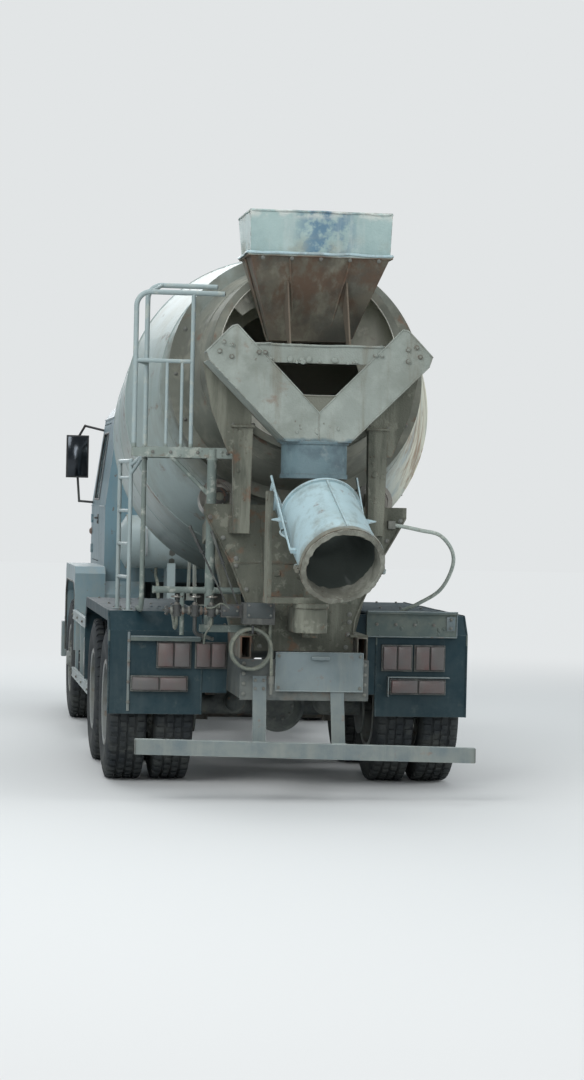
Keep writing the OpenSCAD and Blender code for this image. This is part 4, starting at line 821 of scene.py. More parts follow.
def finish_deck():
    """Deck plate with raised tread, and the pipes welded to it."""
    coat, w, x, y, z = coat_on_axes("deck plate", (128, 140, 134), 0.8)
    coat.patches((104, 112, 106), 2.4, 0.42, 0.2, 0.7, 6.0, 0.9)
    coat.runs((156, 164, 160), 7.0, 0.38, 0.12, 0.55, 3.0, 0.8)
    coat.patches(RUST, 9.0, 0.16, 0.06, 0.55, 8.0, 0.9)
    coat.worn(OLD_RUST, 0.005, 0.7, 0.85)
    coat.cover(w.times(w.ramp(z, 2.335, 2.35), 0.85), (150, 166, 168), 0.6)
    # Painted shade: the post below the deck is painted darker, as it stands in the deck's shade
    coat.cover(w.times(w.ramp(z, 2.24, 2.22), 0.7), (92, 104, 100), 0.85)
    coat.patches((176, 180, 170), 14.0, 0.3, 0.08, 0.6, 4.0, 0.85)
    slanted = w.times(w.wave(w.plus(x, y), 150.0), w.wave(w.minus(x, y), 150.0))
    lugs = w.times(w.ramp(slanted, 0.35, 0.6), w.ramp(w.size(w.minus(z, 2.32)), 0.002, 0.0))
    coat.bump(w.plus(lugs, w.times(w.noise(40.0, 4.0), 0.2)), 0.4, 0.004)
    return coat.done()


def finish_rubber(colours):
    coat = Coat("tyre rubber", colours.rubber, 0.78)
    coat.patches((48, 52, 54), 5.0, 0.4, 0.15, 0.6)
    coat.patches((78, 80, 76), 9.0, 0.3, 0.08, 0.4, 4.0, 0.92)
    coat.dust((90, 92, 86), 0.9, 0.0, 0.35, 0.15)
    coat.bump(coat.w.noise(120.0, 3.0), 0.12, 0.002)
    return coat.done(Specular_IOR_Level=0.3)


def finish_hose(name, base, light):
    coat = Coat(name, base, 0.7)
    coat.patches(light, 24.0, 0.4, 0.1, 0.7)
    coat.patches(MUD, 40.0, 0.25, 0.06, 0.6, 3.0, 0.92)
    coat.bump(coat.w.noise(260.0, 2.0), 0.15, 0.001)
    return coat.done()


def finish_lens(name, base, faded):
    """A moulded lamp lens: ribbed inside and dulled by weather and dust."""
    coat, w, x, y, z = coat_on_axes(name, base, 0.22)
    cells = w.times(w.size(w.wave(x, 460.0)), w.size(w.wave(z, 330.0)))
    coat.cover(w.times(cells, 0.35), faded, 0.2)
    coat.patches((88, 92, 92), 5.0, 0.66, 0.24, 0.8, 2.0, 0.85)
    coat.runs((96, 92, 86), 14.0, 0.35, 0.12, 0.5, 5.0, 0.85)
    coat.bump(cells, 0.35, 0.002)
    return coat.done(Coat_Weight=0.4, Coat_Roughness=0.3)


def finish_glass(name, tint):
    """Window glass: clear, with a film of dust."""
    coat = Coat(name, tint, 0.04)
    film = coat.mask("patches", scale=4.0, cover=0.45, edge=0.2, shift=3.0)
    coat.colour = coat.w.mix(coat.w.times(film, 0.35), rgb(tint), rgb((176, 182, 180)))
    coat.rough = coat.w.plus(coat.w.times(film, 0.25), 0.04)
    return coat.done(Transmission_Weight=0.88, IOR=1.45)


def finish_cloth(name, base):
    """Woven seat cloth: two crossed sets of fine ribs."""
    coat, w, x, y, z = coat_on_axes(name, base, 0.85)
    weave = w.times(w.size(w.wave(w.plus(x, y), 900.0)), w.size(w.wave(w.minus(z, y), 900.0)))
    coat.cover(w.times(weave, 0.5), rgb(base, 1.7), 0.8)
    coat.patches((94, 88, 78), 5.0, 0.3, 0.12, 0.5, 2.0, 0.9)
    coat.bump(weave, 0.3, 0.001)
    return coat.done(Sheen_Weight=0.3)


def make_finishes(colours):
    slurry, paint, steel, hose, lens = finish_slurry, finish_paint, finish_steel, finish_hose, finish_lens
    FINISH.update(
        drum=finish_drum(colours),
        hopper=finish_hopper(colours),
        collector=finish_collector(),
        chute=finish_chute(colours),
        pedestal=slurry("slurry on the pedestal", (92, 94, 84), (128, 130, 118), (68, 72, 64), 0.5, 0.25),
        # The blades' slurry is painted paler than slurry, as painted light inside the drum
        blade=slurry(
            "blade slurry with painted light", (206, 208, 196), (226, 226, 216), (170, 172, 160), 0.5, 0.12, 2.0
        ),
        lump=slurry("set slurry", (114, 114, 104), (150, 152, 142), (84, 86, 78), 0.8, 0.1, 4.0),
        front_stand=slurry("stand paint", (136, 142, 134), (158, 164, 156), (108, 112, 104), 0.25, 0.2, 9.0),
        subframe=slurry("subframe paint", (98, 96, 88), (132, 130, 120), (66, 64, 58), 0.3, 0.35, 3.0),
        cab=paint("cab paint", colours.cab, (84, 110, 120)),
        trim=paint("bumper paint", (112, 130, 136), (92, 108, 114), 0.42),
        pipe=paint("hand rail paint", colours.pipe, (120, 132, 132), 0.42, 2.2, 0.5, 0.1),
        black=paint("black plastic", (28, 30, 32), (20, 22, 24), 0.45, 2.4, 0.35, 0.0),
        tank=steel("tank aluminium", (150, 156, 158), 0.38, 0.75, 0.08, 0.7),
        frame_steel=steel("frame paint", (48, 56, 58), 0.55, 0.0, 0.2, 0.55),
        cast=steel("cast iron", (66, 66, 64), 0.62, 0.3, 0.35, 0.7),
        spring=steel("spring steel", (62, 58, 54), 0.6, 0.4, 0.6, 0.6),
        roller=steel("rolled steel", (126, 124, 118), 0.32, 0.9, 0.2, 0.3),
        bolt=steel("bolt steel", (108, 110, 104), 0.5, 0.5, 0.3, 0.4),
        rim=steel("rim paint", (132, 136, 138), 0.5, 0.15, 0.32, 0.8),
        reflector=steel("mirror metal", (58, 62, 66), 0.12, 0.95, 0.0, 0.1),
        guard=finish_guard(colours),
        rubber=finish_rubber(colours),
        deck=finish_deck(),
        bar=finish_bar(colours),
        hose=hose("hose rubber", (92, 98, 90), (128, 130, 116)),
        arc_hose=hose("pale hose", (146, 156, 150), (172, 178, 170)),
        red_lens=lens("red lens", (84, 54, 50), (106, 76, 70)),
        amber_lens=lens("amber lens", (160, 98, 54), (184, 130, 88)),
        clear_lens=lens("clear lens", (188, 196, 198), (216, 222, 222)),
        glass=finish_glass("cab glass", (196, 214, 216)),
        cloth=finish_cloth("seat cloth", (56, 58, 64)),
    )


NODE_FINISH = {
    "frame_steel": "chassis_frame front_axle rear_axles knuckle_left knuckle_right side_boxes",
    "subframe": "mixer_subframe",
    "cast": "engine tie_rod prop_shafts drum_gearbox",
    "spring": "leaf_springs",
    "rim": "rim_front_left rim_front_right rims_mid_left rims_mid_right rims_back_left rims_back_right",
    "rubber": "tyre_front_left tyre_front_right tyres_mid_left tyres_mid_right"
    " tyres_back_left tyres_back_right",
    "cab": "cab_shell door_left door_right front_fenders",
    "glass": "cab_glass door_glass_left door_glass_right",
    "cloth": "cab_interior",
    "trim": "front_bumper side_guards",
    "black": "grille mirrors valve_box",
    "clear_lens": "headlamps",
    "tank": "fuel_tank",
    "front_stand": "front_pedestal",
    "drum": "drum",
    "roller": "roller_left roller_right",
    "pedestal": "rear_pedestal chute_bracket",
    "hopper": "charge_hopper",
    "collector": "collector",
    "chute": "chute",
    "hose": "hose_ends hose_coil",
    "bolt": "hose_nozzle",
    "arc_hose": "side_hose",
    "pipe": "ladder water_tank",
    "deck": "platform",
    "guard": "rear_mudguards",
    "red_lens": "rear_lamps",
    "bar": "underride_bar",
}


def paint_nodes():
    for finish, nodes in NODE_FINISH.items():
        for name in nodes.split():
            obj = take(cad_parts[name])
            obj.data.materials.clear()
            obj.data.materials.append(FINISH[finish])
            bpy.ops.object.shade_smooth_by_angle(angle=math.radians(32))


class MIXER_OT_finishes(bpy.types.Operator):
    """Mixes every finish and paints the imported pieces"""

    bl_idname = "mixer.finishes"
    bl_label = "Finishes"

    def execute(self, context):
        make_finishes(context.scene.mixer_colours)
        paint_nodes()
        return {"FINISHED"}


# What a user may change


def paint_colour(name, about, eye_colour):
    return FloatVectorProperty(
        name=name, description=about, subtype="COLOR", size=4, min=0, max=1, default=rgb(eye_colour)
    )


def length(name, about, default, low, high):
    return FloatProperty(
        name=name, description=about, default=default, min=low, max=high, unit="LENGTH", subtype="DISTANCE"
    )


class MixerColours(bpy.types.PropertyGroup):
    drum: paint_colour("Drum", "Paint of the drum", (146, 162, 162))
    hopper: paint_colour("Hopper", "Paint of the hopper's collar", (152, 174, 172))
    chute: paint_colour("Chute", "Paint of the chute", (166, 190, 196))
    cab: paint_colour("Cab", "Paint of the cab and its fenders", (102, 130, 140))
    guard: paint_colour("Mudguards", "Paint of the rear mudguards", (24, 50, 58))
    pipe: paint_colour("Hand rails", "Paint of rails and ladder", (152, 168, 170))
    bar: paint_colour("Underride bar", "Paint of the underride bar", (94, 108, 112))
    rubber: paint_colour("Tyres", "Colour of the rubber", (36, 41, 45))


class MixerSizes(bpy.types.PropertyGroup):
    tyre_radius: length("Tyre radius", "Radius over the tread", 0.53, 0.45, 0.6)
    tyre_width: length("Tyre width", "Width over the walls", 0.28, 0.2, 0.35)
    groove_depth: length("Tread depth", "Depth of the tread grooves", 0.016, 0.002, 0.03)
    lug_count: IntProperty(
        name="Tread blocks", description="Tread blocks round a tyre", default=44, min=20, max=80
    )
    hose_diameter: length("Wash hose", "Diameter of the wash hose", 0.022, 0.01, 0.04)


# Camera, lamps and floor

CAMERA_PLACE = Vector((2.536, 20.936, 1.963))
CAMERA_YAW = math.radians(7.948)
CAMERA_DIP = math.radians(0.79)
CAMERA_ROLL = math.radians(1.288)
CAMERA_LENS = 88.78
WALL = rgb((226, 229, 230))
LAMPS = (
    # name, place, size, power
    ("key_lamp", (9.0, 13.0, 11.0), 9.0, 1500),
    ("right_lamp", (-12.0, 7.0, 8.0), 9.0, 900),
    ("front_lamp", (3.0, -14.0, 9.0), 10.0, 1100),
    ("top_lamp", (0.0, 1.0, 13.0), 10.0, 700),
    ("mouth_lamp", (0.5, 17.0, 4.6), 4.0, 420),
)


def camera_matrix():
    yaw, dip, roll = CAMERA_YAW, CAMERA_DIP, CAMERA_ROLL
    ahead = Vector((-math.sin(yaw) * math.cos(dip), -math.cos(yaw) * math.cos(dip), -math.sin(dip)))
    right = Vector((-math.cos(yaw), math.sin(yaw), 0))
    up = Vector((-math.sin(yaw) * math.sin(dip), -math.cos(yaw) * math.sin(dip), math.cos(dip)))
    rolled_right = right * math.cos(roll) + up * math.sin(roll)
    rolled_up = up * math.cos(roll) - right * math.sin(roll)
    turn = Matrix((rolled_right, rolled_up, -ahead)).transposed().to_4x4()
    return Matrix.Translation(CAMERA_PLACE) @ turn


def add_camera():
    deselect()
    bpy.ops.object.camera_add()
    camera = bpy.context.object
    camera.name = "photo_camera"
    camera.data.sensor_fit = "VERTICAL"
    camera.data.sensor_height = 36
    camera.data.lens = CAMERA_LENS
    camera.data.clip_end = 200
    camera.matrix_world = camera_matrix()
    bpy.context.scene.camera = camera


def add_lamps():
    for name, place, size, power in LAMPS:
        bpy.ops.object.light_add(type="AREA", location=place)
        lamp = bpy.context.object
        lamp.name = name
        lamp.data.size = size
        lamp.data.energy = power
        aim = Vector((0, 0.5, 1.5)) - Vector(place)
        lamp.rotation_euler = aim.to_track_quat("-Z", "Y").to_euler()


def add_wall():
    world = bpy.data.worlds.new("pale room")
    world.use_nodes = True
    bpy.context.scene.world = world
    w = Wires(world.node_tree)
    background = world.node_tree.nodes["Background"].inputs
    sees = w.node("LightPath").outputs
    plain = w.math("MAXIMUM", sees["Is Camera Ray"], w.times(sees["Is Transmission Ray"], 0.9))
    w.feed(background["Color"], w.mix(plain, rgb((196, 206, 212)), WALL))
    w.feed(background["Strength"], w.plus(w.times(plain, 0.45), 0.55))


def add_floor():
    """A floor that takes the colour of the wall behind it far from the truck."""
    bpy.ops.mesh.primitive_plane_add(size=120, location=(0, 0, 0))
    floor = bpy.context.object
    floor.name = "floor"
    coat, w, x, y, z = coat_on_axes("floor", (206, 208, 208), 0.9)
    far = w.ramp(w.math("SQRT", w.plus(w.times(x, x), w.times(y, y))), 6.0, 15.0)
    coat.cover(far, (0, 0, 0), 1.0)
    seen = w.node("LightPath").outputs
    bounced = w.math("MAXIMUM", seen["Is Glossy Ray"], seen["Is Transmission Ray"])
    shown = w.math("MAXIMUM", seen["Is Camera Ray"], bounced)
    w.feed(coat.sockets["Emission Color"], w.mix(w.times(far, shown), (0, 0, 0, 1), WALL))
    floor.data.materials.append(coat.done(Emission_Strength=1.0, Specular_IOR_Level=0.1))


class MIXER_OT_stage(bpy.types.Operator):
    """Sets the camera where the photograph was taken, with a pale floor and soft lamps"""

    bl_idname = "mixer.stage"
    bl_label = "Camera, lamps and floor"

    def execute(self, context):
        add_camera()
        add_lamps()
        add_wall()
        add_floor()
        bpy.context.scene.view_settings.view_transform = "Standard"
        return {"FINISHED"}


# Wash hose and side hose

COIL_X, COIL_Y, COIL_Z = 0.37, 3.536, 1.0
COIL_R = 0.132
COIL_PITCH = 0.024
COIL_TURNS = 4
TURN_STEPS = 36
TAIL = 0.176
SIDE_HOSE_D = 0.026
SIDE_HOSE = (
    (-0.56, 3.425, 1.832),
    (-0.64, 3.425, 1.826),
    (-0.785, 3.39, 1.8),
    (-0.93, 3.3, 1.77),
    (-1.035, 3.2, 1.67),
    (-1.062, 3.1, 1.55),
    (-1.01, 2.95, 1.39),
    (-0.88, 2.81, 1.285),
    (-0.79, 2.735, 1.235),
    (-0.77, 2.715, 1.2),
)


def spline_route(points, steps):
    """A smooth route through points, as in the part's source."""
    points = [Vector(p) for p in points]
    last = len(points) - 1
    route = []
    for i in range(last):
        a, b, c, d = points[max(i - 1, 0)], points[i], points[i + 1], points[min(i + 2, last)]
        slope, curve, twist = c - a, 2 * a - 5 * b + 4 * c - d, 3 * b - a - 3 * c + d
        for k in range(steps + (1 if i == last - 1 else 0)):
            t = k / steps
            route.append(0.5 * (2 * b + slope * t + curve * t * t + twist * t * t * t))
    return route


def coil_route():
    """Down from the valve, round the hook in four turns, and down to the nozzle."""
    left = COIL_X - COIL_R
    route = [Vector((left, COIL_Y, VALVE_Z - 0.016 * k)) for k in range(10)]
    for k in range(TURN_STEPS * COIL_TURNS + 1):
        angle = 2 * math.pi * k / TURN_STEPS
        along = COIL_PITCH * k / TURN_STEPS
        round_hook = (COIL_X - COIL_R * math.cos(angle), COIL_Y + along, COIL_Z - COIL_R * math.sin(angle))
        route.append(Vector(round_hook))
    end_y = COIL_Y + COIL_PITCH * COIL_TURNS
    return route + [Vector((left, end_y, COIL_Z - TAIL * k / 8)) for k in range(1, 9)]


def hose_curve(name, route, diameter, finish):
    deselect()
    curve = bpy.data.curves.new(name, "CURVE")
    obj = bpy.data.objects.new(name, curve)
    bpy.context.collection.objects.link(obj)
    tube(curve, route, diameter / 2, 4)
    curve.materials.append(FINISH[finish])
    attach(obj, "chassis")
    return obj


class MIXER_OT_hoses(bpy.types.Operator):
    """Coils the wash hose on its hook and bends the side hose to the mudguard"""

    bl_idname = "mixer.hoses"
    bl_label = "Hoses"

    def execute(self, context):
        diameter = context.scene.mixer_sizes.hose_diameter
        route = coil_route()
        hose = hose_curve("wash_hose", route, diameter, "hose")
        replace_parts(hose, "hose_ends", "hose_coil")

        route = spline_route(SIDE_HOSE, 8)
        hose = hose_curve("arched_hose", route, SIDE_HOSE_D, "arc_hose")
        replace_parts(hose, "side_hose")
        clamp = put("hose_clamp", block((-0.6, 3.4067, 1.805), (-0.55, 3.45, 1.86), 0.004), "bolt")
        profile = [(0, 0), (0.026, 0), (0.026, 0.012), (0.021, 0.016), (0.021, 0.03), (0.0, 0.03)]
        foot = Matrix.Translation((-0.77, 2.715, 1.2003))
        socket = put("hose_socket", turned(profile, 20, foot), "bolt")
        return {"FINISHED"}


# Wheels

WHEELS = [
    # body, side, distance from the middle, station, tyres' offsets, tyre node
    (f"{body}_{hand}", side, x, y, offsets, f"{tyre}_{hand}")
    for body, x, y, offsets, tyre in (
        ("wheel_front", FRONT_WHEEL_X, FRONT_AXLE_Y, (0.0,), "tyre_front"),
        ("wheels_mid", TWIN_MIDDLE_X, AXLE_2_Y, (-TWIN_HALF, TWIN_HALF), "tyres_mid"),
        ("wheels_back", TWIN_MIDDLE_X, AXLE_3_Y, (-TWIN_HALF, TWIN_HALF), "tyres_back"),
    )
    for hand, side in (("left", 1), ("right", -1))
]


def at_wheel(side, x, y):
    """Local frame of a wheel: Z points out of the truck."""
    return Matrix.Translation((side * x, y, AXLE_Z)) @ Matrix.Rotation(side * math.pi / 2, 4, "Y")


def both_walls(wall):
    """An outline on the positive side and the same below."""
    return wall + [(r, -h) for r, h in reversed(wall)]


def tread_block(outline, half_length):
    """One block of the tread: an outline of radius and height, pushed along the rim."""
    obj = ring([(radius, -half_length, height) for radius, height in outline], "NGON")
    bpy.ops.mesh.extrude_region_move(TRANSFORM_OT_translate={"value": (0, 2 * half_length, 0)})
    close_shell()
    sharp = math.radians(30)
    return modified(obj, "BEVEL", width=0.0025, segments=1, limit_method="ANGLE", angle_limit=sharp)


def tyre_model(sizes):
    """One tyre about Z: carcass with bead, guard rib and grooved tread, and its tread blocks."""
    outer, half = sizes.tyre_radius, sizes.tyre_width / 2
    base = outer - sizes.groove_depth
    wall = [
        (0.2863, half - 0.0315),
        (0.3, half - 0.0235),
        (0.308, half - 0.0185),
        (0.317, half - 0.021),
        (0.345, half - 0.0105),
        (0.376, half - 0.004),
        (0.404, half - 0.0015),
        (0.409, half - 0.0002),
        (0.428, half - 0.0002),
        (0.433, half - 0.0015),
        (0.455, half - 0.004),
        (0.472, half - 0.008),
        (outer - 0.045, half - 0.012),
        (outer - 0.032, half - 0.018),
        (base - 0.005, half - 0.03),
        (base, half - 0.046),
    ]
    groove = base - 0.006
    wall += [(base, 0.064), (groove, 0.061), (groove, 0.053), (base, 0.05), (base, 0.005), (groove, 0.003)]
    cavity = both_walls([(0.2863, 0.0747), (0.346, 0.0967), (0.408, 0.114), (0.478, 0.09)])
    carcass = turned(both_walls(wall) + list(reversed(cavity)), 72)

    top = outer - 0.001
    shoulder_outline = [(groove, 0.068), (top, 0.068), (top, half - 0.038), (top - 0.006, half - 0.022)]
    shoulder_outline += [(outer - 0.034, half - 0.0125), (outer - 0.042, half - 0.02)]
    shoulder = tread_block(shoulder_outline, 0.02)
    centre = tread_block([(groove, 0.008), (top, 0.008), (top, 0.048), (groove, 0.048)], 0.017)
    copies = [carcass]
    for i in range(sizes.lug_count):
        turn = Matrix.Rotation(2 * math.pi * i / sizes.lug_count, 4, "Z")
        half_turn = Matrix.Rotation(2 * math.pi * (i + 0.5) / sizes.lug_count, 4, "Z")
        copies += [copy_of(shoulder, turn), copy_of(shoulder, half_turn @ FLIPPED)]
        copies += [copy_of(centre, half_turn), copy_of(centre, turn @ FLIPPED)]
    remove(shoulder)
    remove(centre)
    return joined(copies)


class MIXER_OT_tyres(bpy.types.Operator):
    """Cuts the tread into the tyres and gives their walls beads and ribs"""

    bl_idname = "mixer.tyres"
    bl_label = "Tyres"

    def execute(self, context):
        master = tyre_model(context.scene.mixer_sizes)
        for body, side, x, y, offsets, node in WHEELS:
            wheel = at_wheel(side, x, y)
            copies = [copy_of(master, wheel @ Matrix.Translation((0, 0, offset))) for offset in offsets]
            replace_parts(put("tread_" + node, copies, "rubber", 30, body), node)
        remove(master)
        return {"FINISHED"}


class MIXER_OT_wheel_nuts(bpy.types.Operator):
    """Puts nuts, hub bolts, valves and lock rings on the wheels"""

    bl_idname = "mixer.wheel_nuts"
    bl_label = "Wheel nuts"

    def execute(self, context):
        for body, side, x, y, offsets, node in WHEELS:
            place = at_wheel(side, x, y)
            twin = len(offsets) > 1
            nut_z, hub_z, hub_r = (0.0142, 0.1402, 0.097) if twin else (0.0922, 0.1302, 0.0825)
            valve_z = 0.02 if twin else 0.06
            bolts("nuts_" + body, ring_of(10, 0.143, nut_z, place=place), 0.0165, 0.024, body=body)
            bolts("hub_bolts_" + body, ring_of(8, hub_r, hub_z, 0.2, place), 0.008, 0.007, body=body)
            lock_rings = []
            for offset in offsets:
                out = 1 if offset >= 0 else -1
                edge = offset + out * 0.1235
                profile = [(0.272, edge), (0.3005, edge), (0.3015, edge + out * 0.003)]
                profile += [(0.298, edge + out * 0.0055), (0.275, edge + out * 0.004)]
                lock_rings.append(turned(profile, 56, place))
            put("lock_rings_" + body, lock_rings, "rim", 30, body)
            stem = at_y(0.02, ((0.205, valve_z - 0.03), (0.215, valve_z + 0.02), (0.232, valve_z + 0.055)))
            put("valve_" + body, placed(bar(stem, 0.0045, 0.01), place), "bolt", body=body)
        return {"FINISHED"}


# Hopper, collector and chute


def round_opening(half, front, rear, z):
    """A route round the sides and the rear of the hopper, open towards the drum."""
    return [(-half, front, z), (-half, rear, z), (half, rear, z), (half, front, z)]


class MIXER_OT_hopper_trim(bpy.types.Operator):
    """Rolls the hopper's rim and lip, and adds its ribs, bolts and hooks"""

    bl_idname = "mixer.hopper_trim"
    bl_label = "Hopper trim"

    def execute(self, context):
        y = MOUTH.y
        rim = round_opening(0.466, y - 0.19, y + 0.47, 3.852)
        put("hopper_rim", bar(wavy(rim + rim[:1], 0.004, 3), 0.0075, 0.03), "hopper")
        lip = round_opening(0.474, y - 0.045, y + 0.462, 3.582)
        put("hopper_lip", bar(wavy(lip, 0.005, 8), 0.0105, 0.03), "chute")

        routes = [[(x0, y + 0.445, 3.55), (x1, y + 0.068, 3.09)] for x0, x1 in ((-0.2, -0.12), (0.2, 0.12))]
        routes += [[(side * 0.462, y + 0.2, 3.56), (side * 0.29, y - 0.02, 3.07)] for side in SIDES]
        put("hopper_ribs", [bar(route, 0.007, 0.02) for route in routes], "hopper")

        heads = [facing((x, y + 0.4665, 3.548), (0, 1, -0.3), x) for x in (-0.38, -0.19, 0.0, 0.19, 0.38)]
        bolts("hopper_bolts", heads, 0.010, 0.007)
        hook = ((0.33, 3.845), (0.33, 3.8), (0.41, 3.8))
        put("hopper_hooks", [bar(at_y(y + 0.3, hook, side), 0.008, 0.02) for side in SIDES], "bolt")
        return {"FINISHED"}


class MIXER_OT_collector_trim(bpy.types.Operator):
    """Bolts the collector's arms to their wings, and adds its flanges and splashes"""

    bl_idname = "mixer.collector_trim"
    bl_label = "Collector trim"

    def execute(self, context):
        rear = CHUTE_PIVOT.y + 0.19
        heads = [
            facing((side * x, rear + 0.0005, z), REAR, x * 9)
            for side in SIDES
            for x, z in ((0.575, 2.974), (0.63, 2.99), (0.576, 2.898), (0.655, 2.93))
        ]
        heads += [facing((x, rear + 0.0005, 2.93), REAR, x * 7) for x in (-0.40, -0.36, 0.36, 0.40)]
        bolts("collector_bolts", heads, 0.013, 0.010, "collector")

        arm_edge = ((0.105, 2.66), (0.541, 3.103), (0.577, 3.093), (0.739, 2.927))
        arm_seam = ((0.217, 2.372), (0.718, 2.87))
        inset_seam = ((0.105, 2.656), (0, 2.551))
        strips = []
        for side in SIDES:
            strips.append(bar(wavy(at_y(rear - 0.002, arm_edge, side), 0.002, 5 + side), 0.006, 0.03))
            strips.append(bar(wavy(at_y(rear + 0.001, arm_seam, side), 0.002, 9 + side), 0.0045, 0.02))
            strips.append(bar(wavy(at_y(rear + 0.001, inset_seam, side), 0.002, 14 + side), 0.005, 0.02))
        for y, ends, depth, seed, radius in (
            (rear + 0.001, ((0, 2.553), (0, 2.37)), 0.0, 17, 0.005),
            (rear - 0.002, ((-0.105, 2.66), (0.105, 2.66)), 0.002, 4, 0.007),
            (rear - 0.006, ((-0.45, 2.985), (0.45, 2.985)), 0.004, 12, 0.008),
        ):
            strips.append(bar(wavy(at_y(y, ends), depth, seed), radius, 0.02))
        put("collector_edges", strips, "collector")
        spots = [
            ((-0.45, rear, 2.875), (0.9, 0, 0), (0, 0, 0.02), REAR, 16),
            ((-0.44, rear - 0.03, 2.99), (0.88, 0, 0), (0, 0.02, 0), UP, 22),
            ((-0.2, rear, 2.38), (0.4, 0, 0), (0, 0, 0.25), REAR, 8),
        ]
        splashes("collector_splashes", spots, 3, 0.022, "collector")

        collar = [(0.2155, 0.0), (0.224, 0.0), (0.226, 0.014), (0.219, 0.02), (0.2155, 0.02)]
        belt = [(0.2155, 0.0), (0.2215, 0.0), (0.2215, 0.03), (0.2155, 0.03)]
        outlet = [(collar, 2.3475), (belt, 2.1255)]
        bands = [turned(profile, 48, Matrix.Translation((0, CHUTE_PIVOT.y, z))) for profile, z in outlet]
        put("outlet_rings", bands, "collector", 30)
        return {"FINISHED"}


class MIXER_OT_chute_trim(bpy.types.Operator):
    """Adds the chute's rims, hinge knuckles and the slurry set on its lower end"""

    bl_idname = "mixer.chute_trim"
    bl_label = "Chute trim"

    def execute(self, context):
        inlet, far, skin = 0.19, 0.81, CHUTE_R - 0.001
        # Hinge knuckles for the extension at the lower rim
        knuckle = [(0.007, -0.012), (0.019, -0.012), (0.019, 0.012), (0.007, 0.012)]
        places = [
            Matrix.Translation((side * (CHUTE_R + 0.022), 0.05, along)) @ Matrix.Rotation(math.pi / 2, 4, "X")
            for side in SIDES
            for along in (far - 0.055, far - 0.02)
        ]
        lugs = joined([turned(knuckle, 16, place) for place in places])
        put("chute_lugs", placed(lugs, IN_CHUTE), "chute", body="chute")

        rims = []
        for at, wide, tall in ((inlet - 0.001, 0.0155, 0.02), (far - 0.033, 0.0175, 0.035)):
            edge = CHUTE_R + wide
            end = at + tall
            profile = [(skin, at), (edge, at), (edge + 0.002, at + tall / 2), (edge, end), (skin, end)]
            rims.append(turned(profile, 56))
        put("chute_rims", placed(joined(rims), IN_CHUTE), "chute", 30, "chute")

        # A ragged collar of set slurry round the lower end
        profile = [
            (CHUTE_R - 0.022, far - 0.10),
            (CHUTE_R - 0.0065, far - 0.10),
            (CHUTE_R - 0.0065, far + 0.004),
            (CHUTE_R + 0.012, far + 0.001),
            (CHUTE_R + 0.014, far + 0.016),
            (CHUTE_R - 0.018, far + 0.02),
        ]
        crust = turned(profile, 96)
        open_mesh(crust)
        bpy.ops.mesh.subdivide(number_cuts=1)
        close_mesh()
        put("chute_crust", placed(lumpy(crust, 0.05, 0.024), IN_CHUTE), "lump", 60, "chute")
        return {"FINISHED"}


# Drum


def drum_radius(along):
    for (a, ra), (b, rb) in zip(DRUM_PROFILE, DRUM_PROFILE[1:]):
        if a <= along <= b:
            return ra + (rb - ra) * (along - a) / (b - a)
    return DRUM_PROFILE[-1][1]


class MIXER_OT_blades(bpy.types.Operator):
    """Winds the two mixing blades inside the drum's rear cone"""

    bl_idname = "mixer.blades"
    bl_label = "Mixing blades"

    def execute(self, context):
        turn_length, start, end = 1.5, 0.05, 1.9
        blades = []
        for first in (0.6, 0.6 + math.pi):
            deselect()
            bpy.ops.mesh.primitive_grid_add(x_subdivisions=72, y_subdivisions=3, size=1)
            blade = bpy.context.object
            # The grid's length winds round the drum and its width reaches inward
            for vertex in blade.data.vertices:
                along = start + (end - start) * (vertex.co.x + 0.5)
                inward = vertex.co.y + 0.5
                angle = first + 2 * math.pi * (along - start) / turn_length
                depth = 0.34 * min(1.0, 0.25 + 2.2 * (along - start))
                radius = drum_radius(along) - 0.008 - inward * depth
                vertex.co = (radius * math.cos(angle), radius * math.sin(angle), along + 0.05 * inward)
            blades.append(placed(modified(blade, "SOLIDIFY", thickness=0.008, offset=0), IN_DRUM))
        put("mixing_blades", blades, "blade", 40, "drum")
        return {"FINISHED"}


class MIXER_OT_drum_trim(bpy.types.Operator):
    """Adds the drum's weld seams, hatch and bolts"""

    bl_idname = "mixer.drum_trim"
    bl_label = "Drum trim"

    def execute(self, context):
        seams = []
        for at in (0.3, 0.95, 1.55, 2.1, 2.65, 3.25, 3.85):
            skin, crown = drum_radius(at) - 0.002, drum_radius(at) + 0.0035
            profile = [(skin, at - 0.008), (crown, at - 0.004), (crown, at + 0.004), (skin, at + 0.008)]
            seams.append(turned(profile, 96, IN_DRUM))
        for start, end, angle in ((0.95, 1.55, 0.9), (1.55, 2.65, 2.2), (2.65, 3.85, 4.0)):
            points = []
            for k in range(7):
                along = start + (end - start) * k / 6
                radius = drum_radius(along) + 0.001
                points.append((radius * math.cos(angle), radius * math.sin(angle), along))
            seams.append(placed(bar(points, 0.005, 0.0, 2), IN_DRUM))
        put("drum_seams", seams, "drum", 40, "drum")

        # Hatch on the cylinder
        place = IN_DRUM @ Matrix.Rotation(math.radians(200), 4, "Z")
        place = place @ Matrix.Translation((1.1, 0, 2.1)) @ Matrix.Rotation(math.pi / 2, 4, "Y")
        lid = [(0, -0.03), (0.2, -0.03), (0.2, 0.006), (0.185, 0.012), (0, 0.014)]
        put("hatch", turned(lid, 40, place), "drum", 30, "drum")
        bolts("hatch_bolts", ring_of(10, 0.168, 0.012, place=place), 0.010, 0.008, body="drum")
        bolts("flange_bolts", ring_of(12, 0.2, 4.2752, place=IN_DRUM), 0.012, 0.006, body="drum")
        # Bolts of the roller track's segments
        heads = [place @ FLIPPED for place in ring_of(16, 0.828, 0.6, place=IN_DRUM)]
        bolts("track_bolts", heads, 0.011, 0.009, body="drum")
        return {"FINISHED"}


# Lamps, mudguards and underride bar

